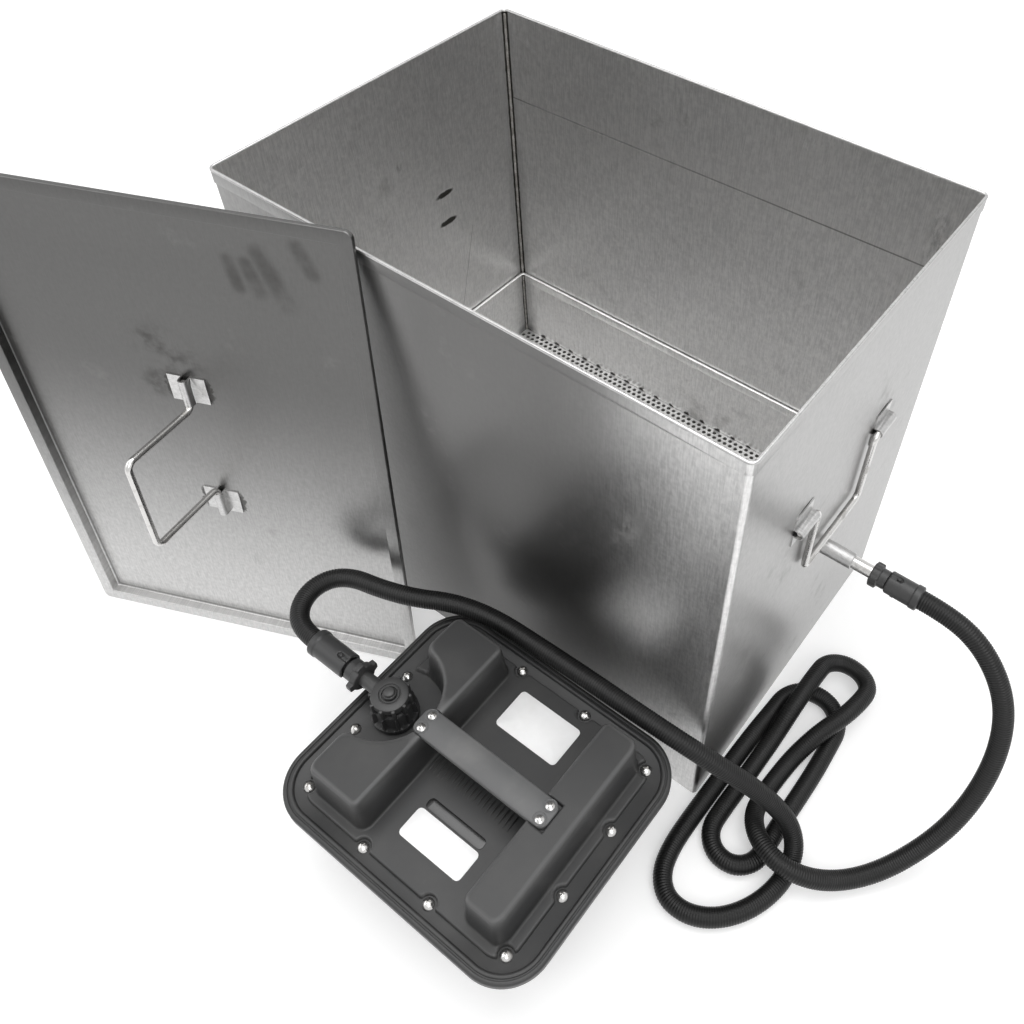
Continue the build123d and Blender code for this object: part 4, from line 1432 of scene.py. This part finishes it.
@dataclass
class SievePlate:
    """The basket's perforated floor: staggered rows of punched holes."""

    half_length: float = 244.2
    half_width: float = 169.2
    base: float = 76.0
    top: float = 77.0
    columns: int = 68
    rows: int = 54
    border: float = 1.4
    hole: float = 2.45

    def strip(self, lines_x: np.ndarray, lines_y: np.ndarray) -> list[Sheet]:
        """The top and the underside of a plain part of the plate on the given grid lines."""
        x, y = np.meshgrid(lines_x, lines_y, indexing="ij")
        return [Sheet(np.stack([x, y, np.full_like(x, level)], axis=-1)) for level in (self.top, self.base)]

    def build(self, finishes: Finishes) -> None:
        """Cells of eight points: an upper ring, the hole's wall, a lower ring; every other row is shifted.

        Args:
            finishes: the melter's finishes.
        """
        pitch = 2 * self.half_length / self.columns
        inner = self.half_width - self.border
        depth = 2 * inner / self.rows
        turn = np.arange(8) * np.pi / 4
        corner = np.stack([np.sign(np.cos(turn).round(6)), np.sign(np.sin(turn).round(6))], axis=-1)
        outer = corner * (pitch / 2, depth / 2)
        hole = self.hole * np.stack([np.cos(turn), np.sin(turn)], axis=-1)
        section = ((outer, self.top), (hole, self.top), (hole, self.base), (outer, self.base))
        cell = np.stack([np.column_stack([loop, np.full(8, level)]) for loop, level in section])
        sheets = []
        for row in range(self.rows):
            shifted = row % 2
            y = -inner + depth * (row + 0.5)
            for column in range(self.columns - shifted):
                x = -self.half_length + pitch * (column + 0.5 + 0.5 * shifted)
                sheets.append(Sheet(cell + (x, y, 0.0), wrap_columns=True))
            for side in (-1, 1) if shifted else ():
                ends = side * np.array([self.half_length, self.half_length - pitch / 2])
                sheets += self.strip(ends, y + depth * np.array([-0.5, 0.0, 0.5]))
        half_steps = np.linspace(-self.half_length, self.half_length, 2 * self.columns + 1)
        for side in (-1, 1):
            sheets += self.strip(half_steps, side * np.array([inner, self.half_width]))
        rows_y = np.linspace(-inner, inner, 2 * self.rows + 1)
        around_y = np.concatenate([[-self.half_width], rows_y, [self.half_width]])
        levels = np.array([self.top, self.base])[:, None]
        for side in (-1, 1):
            x, y, z = np.broadcast_arrays(half_steps[None], side * self.half_width, levels)
            sheets.append(Sheet(np.stack([x, y, z], axis=-1)))
            x, y, z = np.broadcast_arrays(side * self.half_length, around_y[None], levels)
            sheets.append(Sheet(np.stack([x, y, z], axis=-1)))
        piece = make_piece("perforated_plate", sheets, finishes.sieve, 50.0)
        placed(piece, "basket", ("sieve_plate",))


@dataclass
class CornerWelds:
    """Welded seams in the rear left corner of the tank and of the basket."""

    row_step: float = 0.7
    columns: int = 9
    ripple: float = 2.8
    swell: float = 37.0

    def bead(self, corner: tuple, bend: float, heights: tuple, width: float) -> Sheet:
        """A rippled strip on a rounded corner: it stands off the bend by a cosine across it.

        Args:
            corner: where the two walls would meet.
            bend: the corner's inner radius.
            heights: of its foot and its top.
            width: how far it reaches round the bend.

        Returns:
            The bead's surface, closed behind the bend.
        """
        low, high = heights
        rise = np.linspace(low, high, int((high - low) / self.row_step))[:, None]
        ends = np.ones_like(rise)
        ends[[0, -1]] = 0.0
        over = np.linspace(-1, 1, self.columns)
        across = np.concatenate([over, -over])[None]
        front = np.repeat([1.0, 0.0], self.columns)[None]
        ripple = 1 + 0.25 * np.sin(2 * np.pi * rise / self.ripple)
        ripple += 0.1 * np.sin(2 * np.pi * rise / self.swell + 1.3)
        ragged = 1 + 0.06 * np.sin(rise / 5.3) + 0.06 * np.sin(rise / 2.1 + 0.7)
        angle = np.pi / 4 + ends * ragged * across * width / (2 * bend)
        proud = front * (0.3 + 0.55 * np.cos(np.pi / 2 * across) * ripple) - 0.4
        reach = bend - ends * proud
        x = corner[0] + bend - reach * np.cos(angle)
        y = corner[1] - bend + reach * np.sin(angle)
        return Sheet(np.stack(np.broadcast_arrays(x, y, rise), axis=-1), wrap_columns=True)

    def build(self, finishes: Finishes) -> None:
        """Run a bead up each corner, and on over the basket's hem.

        Args:
            finishes: the melter's finishes.
        """
        tank = self.bead((-248.0, 173.0), 4.0, (2.0, 482.0), 2.6)
        placed(make_piece("tank_corner_weld", [tank], finishes.oxide), "melter")
        basket = self.bead((-244.5, 169.5), 3.0, (77.5, 156.4), 2.2)
        hem = self.bead((-243.7, 168.7), 2.2, (156.2, 163.5), 2.0)
        piece = make_piece("basket_corner_weld", [basket, hem], finishes.oxide)
        placed(piece, "basket")


@dataclass
class RolledRims:
    """The rolled edges of the tank and of the basket; the basket's nearly closes the gap round it."""

    def ring(self, half: tuple, corner: float, height: float, size: tuple) -> Sheet:
        """An oval section carried round a rounded rectangle.

        Args:
            half: half the length and half the width of its middle line.
            corner: the middle line's corner radius.
            height: of the middle line.
            size: half widths of the section, outwards and upwards.

        Returns:
            The closed ring.
        """
        turn = np.linspace(0, 2 * np.pi, 14, endpoint=False)
        section = np.stack([size[0] * np.cos(turn), height + size[1] * np.sin(turn)], axis=-1)
        return Sheet(carried_round(section, half, corner, 6), wrap_rows=True, wrap_columns=True)

    def build(self, finishes: Finishes) -> None:
        """Lay one ring on each rim.

        Args:
            finishes: the melter's finishes.
        """
        tank = self.ring((249.0, 174.0), 5.0, 484.0, (1.3, 1.3))
        placed(make_piece("rolled_tank_rim", [tank], finishes.fittings), "melter")
        basket = self.ring((245.6, 170.6), 4.1, 164.6, (1.9, 1.4))
        placed(make_piece("rolled_basket_rim", [basket], finishes.sieve), "basket")


@dataclass
class InletPipe:
    """The steam inlet: a dull stub welded into the right wall and a bright nipple for the union nut."""

    root: tuple = (249.0, 0.0, 214.0)
    bore: float = 4.0
    stub: tuple = (7.5, 32.0)
    nipple: tuple = (6.0, 65.5)
    weld: tuple = ((10.8, 0.0), (9.5, 0.4), (8.5, 1.1), (7.8, 2.2), (7.5, 3.6))

    def build(self, finishes: Finishes) -> None:
        """Carry each closed profile round the pipe's axis; the stub's runs out of a hollow weld fillet.

        Args:
            finishes: the melter's finishes.
        """
        (stub, reach), (nipple, end) = self.stub, self.nipple
        root = ((self.bore, -1.0), (stub, -1.0), (stub, 0.0))
        tip = ((stub, reach - 0.6), (stub - 0.6, reach), (self.bore, reach))
        thread = (
            (self.bore, reach - 1.0), (nipple, reach - 1.0),
            (nipple, end - 0.5), (nipple - 0.5, end), (self.bore, end),
        )
        plan = (
            ("turned_inlet_stub", root + self.weld + tip, finishes.pipe, ("steam_inlet_pipe",)),
            ("turned_inlet_nipple", thread, finishes.bar, ()),
        )
        for name, profile, material, replaced in plan:
            pipe = turned(profile, self.root, 48, RIGHT, UP, closed=True)
            placed(make_piece(name, [pipe], material), "melter", replaced)


def drum(start: tuple, axis: tuple, along: np.ndarray, radius: np.ndarray) -> np.ndarray:
    """Points of a round moulding: a radius for each distance along an axis and each angle from the vertical.

    Args:
        start: the axis's zero.
        axis: unit vector along it, level.
        along: distances, one for each row.
        radius: radii by row and by angle.

    Returns:
        The points, by row and by angle.
    """
    angle = np.linspace(0, 2 * np.pi, radius.shape[1], endpoint=False)[:, None]
    ring = np.cos(angle) * UP + np.sin(angle) * np.cross(UP, axis)
    return np.array(start) + along[:, None, None] * np.array(axis) + radius[..., None] * ring


@dataclass
class CapTop:
    """The filler cap's top: the swivelling elbow with its pegged disc and its pipe, and the relief button."""

    foot: tuple = (17.0, -314.0, 0.0)
    top: float = 147.5
    disc: float = 16.4
    peg_spacing: float = 36.0
    pipe: float = 7.0
    pipe_flare: float = 3.2
    pipe_height: float = 139.5
    pipe_ends: tuple = (11.0, -29.0)
    spring_turns: int = 3
    spring_radius: float = 2.9
    spring_wire: float = 0.36

    def elbow(self) -> Sheet:
        """Turned: flange, barrel, disc with a bevelled rim, ring groove, button recess and spring chamber.

        Returns:
            The elbow's surface.
        """
        disc = self.disc
        below = (
            (0.0, -22.0), (14.0, -22.0), (14.0, -18.0), (12.0, -18.0), (12.0, -7.0), (disc - 0.6, -7.0),
            (disc, -6.4), (disc, -1.4), (disc - 0.4, -0.5), (disc - 1.4, 0.0), (9.8, 0.1), (9.4, -0.9),
            (8.7, -0.9), (8.3, 0.1), (7.3, 0.1), (7.0, -0.2), (7.0, -2.0), (2.06, -2.0), (2.06, -4.0),
            (3.9, -4.0), (3.9, -15.0), (0.0, -15.0),
        )
        return turned(np.array(below) + (0.0, self.top), self.foot, 72)

    def pegs(self) -> list[Sheet]:
        """Rounded pegs that hang from the disc's rim, turned about the axis, except where the pipe leaves.

        Returns:
            One surface for each peg.
        """
        peg = slab((self.disc, 0.0), (2.1, 1.6), 1.2, (self.top - 13.5, self.top - 1.0), 0.7).points
        turns = np.radians(np.arange(-4, 5) * self.peg_spacing)
        pairs = zip(np.cos(turns), np.sin(turns))
        matrices = [np.array([[cos, sin, 0], [-sin, cos, 0], [0, 0, 1]]) for cos, sin in pairs]
        return [Sheet(peg @ matrix + np.array(self.foot), wrap_columns=True) for matrix in matrices]

    def pipe_run(self) -> Sheet:
        """A closed pipe of ellipses that widens sideways, by a square law, towards the barrel.

        Returns:
            The pipe's surface.
        """
        x = np.linspace(*self.pipe_ends, 30)
        wide = self.pipe + self.pipe_flare * np.clip((x + 9.0) / 20.0, 0, 1) ** 2
        x = np.concatenate([x[:1], x, x[-1:]])[:, None]
        size = np.concatenate([[0.0], np.ones(30), [0.0]])[:, None]
        angle = np.linspace(0, 2 * np.pi, 40, endpoint=False)[None]
        y = self.foot[1] + size * np.concatenate([wide[:1], wide, wide[-1:]])[:, None] * np.cos(angle)
        z = self.pipe_height + size * self.pipe * np.sin(angle)
        return Sheet(np.stack(np.broadcast_arrays(x, y, z), axis=-1), wrap_columns=True)

    def spring(self, finishes: Finishes) -> None:
        """A helix of wire between the valve disc and the chamber's top.

        Args:
            finishes: the melter's finishes.
        """
        turn = np.linspace(0, 2 * np.pi * self.spring_turns, 40 * self.spring_turns)
        rise = np.linspace(self.top - 12.2, self.top - 4.4, len(turn))
        x, y = self.spring_radius * np.cos(turn), self.spring_radius * np.sin(turn)
        path = np.stack([x, y, rise], axis=-1)
        radii = np.full(len(turn), self.spring_wire)
        radii[[0, -1]] = 0.0
        coil = tube(path + np.array(self.foot), radii, UP, 8)
        piece = make_piece("coiled_spring", [coil], finishes.bar, 80.0)
        placed(piece, "melter", ("relief_spring",))
        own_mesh(piece)

    def build(self, finishes: Finishes) -> None:
        """Build the elbow, the spring, and the button with its stem and valve disc.

        Args:
            finishes: the melter's finishes.
        """
        self.spring(finishes)
        sheets = [self.elbow(), *self.pegs(), self.pipe_run()]
        elbow = make_piece("moulded_elbow", sheets, finishes.cap, 35.0)
        placed(elbow, "melter", ("steam_elbow",))
        below = (
            (0.0, -14.6), (3.4, -14.6), (3.4, -12.6), (2.0, -12.6), (2.0, -0.6), (5.6, -0.6), (5.9, -0.3),
            (5.9, 1.4), (5.5, 1.9), (5.0, 2.0), (4.8, 3.6), (4.3, 4.3), (2.5, 4.8), (0.0, 5.0),
        )
        profile = np.array(below) + (0.0, self.top)
        button = make_piece("moulded_button", [turned(profile, self.foot, 48)], finishes.cap, 35.0)
        placed(button, "relief_button", ("relief_button",))


@dataclass
class UnionNut:
    """A union nut: a lugged ring on the pipe's side and a plain collar on the hose's side."""

    name: str
    node: str
    body: str
    start: tuple
    axis: tuple
    bore: float
    ring: tuple
    collar: tuple
    lugs: tuple
    rows: int = 36
    sides: int = 168

    def build(self, finishes: Finishes) -> None:
        """A radius of angle and distance: bevelled ring, collar and lugs with sloping flanks, and the bore.

        Args:
            finishes: the melter's finishes.
        """
        (radius, reach), (collar, tail), (count, top, width) = self.ring, self.collar, self.lugs
        length = reach + tail
        places = np.array([0.0, 0.8, reach - 0.7, reach, reach + 0.1, length - 0.8, length])
        radii = np.array([radius - 0.8, radius, radius, radius - 0.7, collar, collar, collar - 0.8])
        along = np.unique(np.concatenate([places, np.linspace(0.0, length, self.rows)]))
        spacing = 2 * np.pi / count
        angle = np.linspace(0, 2 * np.pi, self.sides, endpoint=False)
        side = abs((angle + spacing / 2) % spacing - spacing / 2) * radius
        flank = np.clip(width / 2 + 0.5 - side, 0, 1)
        end = np.clip(np.minimum(along, reach - along), 0, 1)
        outer = np.interp(along, places, radii)[:, None] + (top - radius) * flank * end[:, None]
        rim = np.full((1, self.sides), self.bore)
        along = np.concatenate([[0.0], along, [length]])
        rows = drum(self.start, self.axis, along, np.concatenate([rim, outer, rim]))
        piece = make_piece(self.name, [Sheet(rows, wrap_rows=True, wrap_columns=True)], finishes.cap, 40.0)
        placed(piece, self.body, (self.node,))


@dataclass
class HoseCuff:
    """A moulded barrel that grips one end of the hose, with bayonet slots and their pins at the nut's end."""

    name: str
    node: str
    start: tuple
    axis: tuple
    radius: float
    length: float
    neck: tuple = (0.0, 0.0)
    mouth: float = 2.6
    end_round: float = 1.2
    collar: tuple = (7.0, 0.7)
    slot_place: float = 4.0
    slot_half: tuple = (2.8, 8.0)
    slot_depth: float = 1.8
    pin_place: float = 8.4
    pin_height: float = 2.1
    rows: int = 76
    sides: int = 112

    def build(self, finishes: Finishes) -> bpy.types.Object:
        """A radius of angle and distance: sunk mouth, rounded ends, hose collar, sunk slots and raised pins.

        Args:
            finishes: the melter's finishes.

        Returns:
            The cuff.
        """
        along = np.linspace(0.0, self.length, self.rows)
        angle = np.linspace(0, 2 * np.pi, self.sides, endpoint=False)
        end = np.minimum(along, self.length - along)
        outline = self.radius - np.maximum(self.end_round - end, 0) ** 2 / (2 * self.end_round)
        reach, step = self.collar
        ramp = np.clip(along - self.length + reach, 0, step) / step
        outline += step * ramp * (np.minimum(end, step) / step)
        side = ((angle + np.pi / 3) % (2 * np.pi / 3) - np.pi / 3) * self.radius
        slot = box_distance(side[None], along[:, None] - self.slot_place, self.slot_half, 2.6)
        pin = np.hypot(side[None], along[:, None] - self.pin_place)
        radius = outline[:, None] - self.slot_depth * np.clip(-slot / 0.5, 0, 1)
        radius += self.pin_height * np.clip((2.0 - pin) / 0.4, 0, 1)
        lips = np.array(
            [
                [0.0, self.mouth], [self.radius - 2.6, self.mouth],
                [self.radius - 2.4, 0.3], [self.radius - 2.1, 0.0],
            ]
        )
        inner = np.repeat(lips[:, :1], self.sides, axis=1)
        radius = np.concatenate([inner, radius, np.zeros((1, self.sides))])
        along = np.concatenate([lips[:, 1], along, [self.length]])
        sheets = [Sheet(drum(self.start, self.axis, along, radius), wrap_columns=True)]
        size, reach = self.neck
        if reach:
            foot = self.mouth + 0.5
            radius = np.repeat([[0.0], [size], [size], [0.0]], 40, axis=1)
            neck = drum(self.start, self.axis, np.array([foot, foot, -reach, -reach]), radius)
            sheets.append(Sheet(neck, wrap_columns=True))
        piece = make_piece(self.name, sheets, finishes.cap, 50.0)
        return placed(piece, "melter", (self.node,))


@dataclass
class HoseRun:
    """The ribbed steam hose: out of the generator, round a loose hank on the floor and up to the inlet."""

    pitch: float = HOSE_PITCH
    radius: float = 9.0
    groove: float = 0.45
    sides: int = 14
    rings_per_rib: int = 5
    smoothing: int = 9
    cord_points: int = 800
    feed: tuple = (
        (-75.0, -314.0, 139.5), (-96.5, -314.0, 139.5), (-113.9, -301.4, 140.0), (-120.5, -281.0, 141.0),
        (-113.9, -260.6, 142.0), (-96.5, -248.0, 142.5), (-70.0, -242.0, 142.0), (-38.0, -230.0, 141.0),
        (-6.0, -211.0, 140.0), (34.0, -200.0, 138.0), (86.0, -197.0, 135.0), (140.0, -195.0, 133.0),
        (194.0, -194.0, 131.0), (236.0, -191.0, 126.0), (268.0, -183.0, 110.0), (294.0, -171.0, 86.0),
        (317.0, -161.0, 60.0), (338.0, -157.0, 35.0), (352.0, -166.0, 17.0),
    )
    hank: tuple = (
        (357.0, -187.0, 9.5), (354.0, -212.0, 9.0), (343.0, -238.0, 9.0), (325.0, -259.0, 9.0),
        (303.0, -270.0, 9.0), (281.0, -269.0, 9.0), (266.0, -254.0, 9.0), (260.5, -230.0, 9.0),
        (260.0, -200.0, 9.0), (261.0, -160.0, 9.0), (262.0, -118.0, 9.0), (263.5, -85.0, 9.0),
        (265.5, -60.0, 9.0), (267.0, -35.0, 9.0), (284.0, -17.5, 9.0), (310.0, -17.0, 9.0),
        (327.5, -35.5, 9.0), (329.0, -60.0, 9.0), (330.5, -92.0, 9.0), (330.0, -128.0, 9.0),
        (329.5, -154.0, 9.0), (329.5, -176.0, 9.0), (329.0, -197.0, 9.0), (314.5, -211.5, 9.0),
        (293.5, -211.0, 9.0), (279.5, -196.0, 9.0), (279.0, -174.0, 9.0), (280.0, -146.0, 9.0),
        (280.5, -112.0, 9.0), (281.5, -80.0, 12.0), (282.5, -54.0, 25.0), (283.0, -30.0, 30.0),
        (283.5, -8.0, 29.0), (284.0, 12.0, 23.0), (298.5, 27.0, 17.0), (319.0, 26.5, 17.0),
        (333.5, 12.0, 23.0), (333.0, -9.0, 29.0), (327.5, -34.0, 30.0), (316.0, -60.0, 24.0),
        (307.0, -88.0, 11.0), (304.0, -116.0, 9.0), (303.0, -142.0, 11.0), (306.0, -166.0, 22.0),
        (321.0, -185.0, 31.0),
    )
    rise: tuple = (
        (346.0, -194.0, 33.0), (373.0, -188.0, 27.0), (399.0, -167.0, 15.0), (424.0, -139.0, 20.0),
        (444.0, -107.0, 40.0), (456.0, -80.0, 66.0), (460.0, -54.0, 98.0), (456.0, -33.0, 132.0),
        (444.0, -19.0, 165.0), (424.0, -10.0, 191.0), (398.0, -3.0, 208.0), (369.0, 0.0, 214.0),
        (345.0, 0.0, 214.0),
    )

    def line(self) -> np.ndarray:
        """The hose's middle line, read from one smooth spline through the route's control points.

        Returns:
            Points of the middle line, in millimetres.
        """
        route = np.array(self.feed + self.hank + self.rise) * MM
        curve = bpy.data.curves.new("hose_line", "CURVE")
        curve.dimensions = "3D"
        spline = curve.splines.new("NURBS")
        spline.points.add(len(route) - 1)
        spline.points.foreach_set("co", np.column_stack([route, np.ones(len(route))]).reshape(-1))
        spline.order_u = 3
        spline.use_endpoint_u = True
        spline.resolution_u = 16
        holder = bpy.data.objects.new("hose_line", curve)
        read = bpy.data.meshes.new_from_object(holder)
        points = np.empty(len(read.vertices) * 3)
        read.vertices.foreach_get("co", points)
        bpy.data.meshes.remove(read)
        bpy.data.objects.remove(holder)
        bpy.data.curves.remove(curve)
        return points.reshape(-1, 3) / MM

    def build(self, finishes: Finishes, cuffs: list[bpy.types.Object]) -> None:
        """Carry a circle along the line; its radius dips at every groove, as a raised cosine of the distance.

        Args:
            finishes: the melter's finishes.
            cuffs: the pieces at the hose's two ends; not used.
        """
        line = self.line()
        gone = np.concatenate([[0.0], np.cumsum(np.linalg.norm(np.diff(line, axis=0), axis=1))])
        length = gone[-1]
        along = np.linspace(0, length, int(length / self.pitch * self.rings_per_rib))
        path = np.stack([np.interp(along, gone, line[:, axis]) for axis in range(3)], axis=-1)
        window = np.ones(self.smoothing) / self.smoothing
        margin = self.smoothing // 2
        inner = np.stack([np.convolve(path[:, axis], window, "valid") for axis in range(3)], axis=-1)
        path[margin:-margin] = inner
        dip = (0.5 - 0.5 * np.cos(2 * np.pi * along / self.pitch)) ** 2
        radii = self.radius - self.groove * dip
        hose = tube(path, radii, unit(np.array([0.6, 0.0, 0.8])), self.sides, along)
        piece = make_piece("steam_hose", [hose], finishes.hose, 80.0)
        placed(piece, "melter", ("steam_hose_feed", "hose_hank", "steam_hose_return"))
        2 * self.radius * MM
        log.info("hose length %.0f mm", length)


@dataclass
class Studio:
    """Pale floor, soft lights and the camera at the photograph's viewing angle."""

    position: tuple = (0.40524, -0.52837, 0.92877)
    rotation: tuple = (0.727838, -0.023419, 0.634639)
    focal: float = 995.0
    centre: tuple = (628.7, 440.5)
    frame: float = 1024.0

    def camera(self) -> None:
        """Place the camera; focal length and picture centre are in pixels of the photograph's frame."""
        data = bpy.data.cameras.new("camera")
        data.sensor_width = 36.0
        data.lens = 36.0 * self.focal / self.frame
        data.shift_x = (self.frame / 2 - self.centre[0]) / self.frame
        data.shift_y = (self.centre[1] - self.frame / 2) / self.frame
        data.clip_end = 50.0
        camera = bpy.data.objects.new("camera", data)
        camera.location = self.position
        camera.rotation_euler = self.rotation
        bpy.context.scene.collection.objects.link(camera)
        bpy.context.scene.camera = camera

    def light(self, name: str, place: tuple, aim: tuple, size: float, power: float) -> None:
        """Add a soft square light.

        Args:
            name: the light's name.
            place: where it hangs, in metres.
            aim: the point it faces.
            size: its side, in metres.
            power: watts.
        """
        data = bpy.data.lights.new(name, "AREA")
        data.size = size
        data.energy = power
        lamp = bpy.data.objects.new(name, data)
        lamp.location = place
        away = Vector(place) - Vector(aim)
        lamp.rotation_euler = away.to_track_quat("Z", "Y").to_euler()
        bpy.context.scene.collection.objects.link(lamp)

    def world(self) -> None:
        """A plain room that is white where the camera, gloss or glass sees it."""
        shade = Shading("studio", world=True)
        bpy.context.scene.world = shade.owner
        light = {"Value": shade.seen_as_background(), "To Min": 0.55, "To Max": 1.0}
        strength = shade.node("ShaderNodeMapRange", None, light).out("Result")
        room = shade.node("ShaderNodeBackground", None, {"Color": grey(1.0), "Strength": strength})
        shade.node("ShaderNodeOutputWorld", None, {"Surface": room.out("Background")})

    def floor(self) -> None:
        """A wide pale floor that runs out into the background."""
        shade = Shading("pale_floor")
        mottle = shade.noise(shade.point(), 3.0, 2.0)
        seen = shade.seen_as_background()
        material = shade.close(
            {
                "Base Color": shade.blend(mottle, grey(0.7), grey(0.74)),
                "Roughness": 0.9,
                "Emission Color": shade.blend(seen, grey(0.0), grey(0.38)),
                "Emission Strength": 1.0,
            }
        )
        reach = np.linspace(-6000.0, 6000.0, 5)
        x, y = np.meshgrid(reach, reach, indexing="ij")
        ground = Sheet(np.stack([x, y, np.full_like(x, -0.3)], axis=-1))
        make_piece("floor", [ground], material)

    def build(self) -> None:
        """Set up the view, the lights and the floor."""
        bpy.context.scene.view_settings.view_transform = "Standard"
        self.camera()
        self.world()
        self.light("key", (1.6, -1.2, 2.2), (0.1, -0.1, 0.2), 1.6, 22.0)
        self.light("fill", (-1.8, -1.6, 1.6), (0.0, -0.2, 0.2), 1.8, 14.0)
        self.light("top", (0.0, 0.1, 2.3), (0.0, 0.0, 0.2), 1.8, 34.0)
        self.floor()


def main() -> None:
    """Build the melter's pieces in order and set up the studio."""
    logging.basicConfig(level=logging.INFO, format="%(name)s: %(message)s")
    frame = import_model()
    nodes = frame["nodes"]
    finishes = Finishes()
    finishes.dress(nodes)
    LidPan().build(finishes)
    down = (0, 0, -1)
    handles = (
        BailHandle("right_handle_bar", "right_bail", "right_handle", (254.0, 0.0, 316.0), (0, 1, 0), down),
        BailHandle("left_handle_bar", "left_bail", "left_handle", (-254.0, 0.0, 316.0), (0, -1, 0), down),
        BailHandle(
            "lid_handle_bar", "lid_bail", "lid_handle",
            (-233.44, -272.59, 251.21), LidPan.up, (0.256, -0.960, 0.114),
        ),
    )
    for handle in handles:
        handle.build(finishes)
    SmoothShells().build(finishes, nodes)
    middle = np.array(BarePlates.centre)
    spans = ((108.2, 90.0), (36.0, 98.2), (115.3, 31.5))
    screws = np.array([(a * x, b * y) for x, y in spans for a in (-1, 1) for b in (-1, 1)])
    MouldedCover().build(finishes, screws)
    places = tuple(map(tuple, middle + screws))
    DomedScrews("domed_flange_screws", "flange_screws", places, 111.5, 5.0, 4.0).build(finishes)
    places = tuple(tuple(middle + (x, y)) for x in (-50.5, 75.5) for y in (-8.5, 4.5))
    CarryStrap().build(finishes, places)
    DomedScrews("domed_strap_screws", "strap_screws", places, 157.0, 4.5, 3.0).build(finishes)
    BarePlates().build(finishes)
    SievePlate().build(finishes)
    CornerWelds().build(finishes)
    RolledRims().build(finishes)
    InletPipe().build(finishes)
    CapTop().build(finishes)
    UnionNut(
        "moulded_generator_nut", "generator_union_nut", "generator_nut",
        (-15.0, -314.0, 139.5), (-1, 0, 0), 7.1, (12.5, 7.0), (10.4, 9.0), (4, 16.0, 7.0),
    ).build(finishes)
    UnionNut(
        "moulded_inlet_nut", "inlet_union_nut", "inlet_nut",
        (299.2, 0.0, 214.0), (1, 0, 0), 6.1, (10.0, 8.0), (8.7, 7.0), (6, 11.4, 3.2),
    ).build(finishes)
    cuffs = (
        HoseCuff(
            "moulded_generator_cuff", "generator_hose_cuff",
            (-33.0, -314.0, 139.5), (-1, 0, 0), 12.0, 42.0, (6.5, 4.0),
        ),
        HoseCuff("moulded_inlet_cuff", "inlet_hose_cuff", (314.5, 0.0, 214.0), (1, 0, 0), 10.5, 30.5),
    )
    HoseRun().build(finishes, [cuff.build(finishes) for cuff in cuffs])
    Studio().build()


if __name__ == "__main__":
    main()
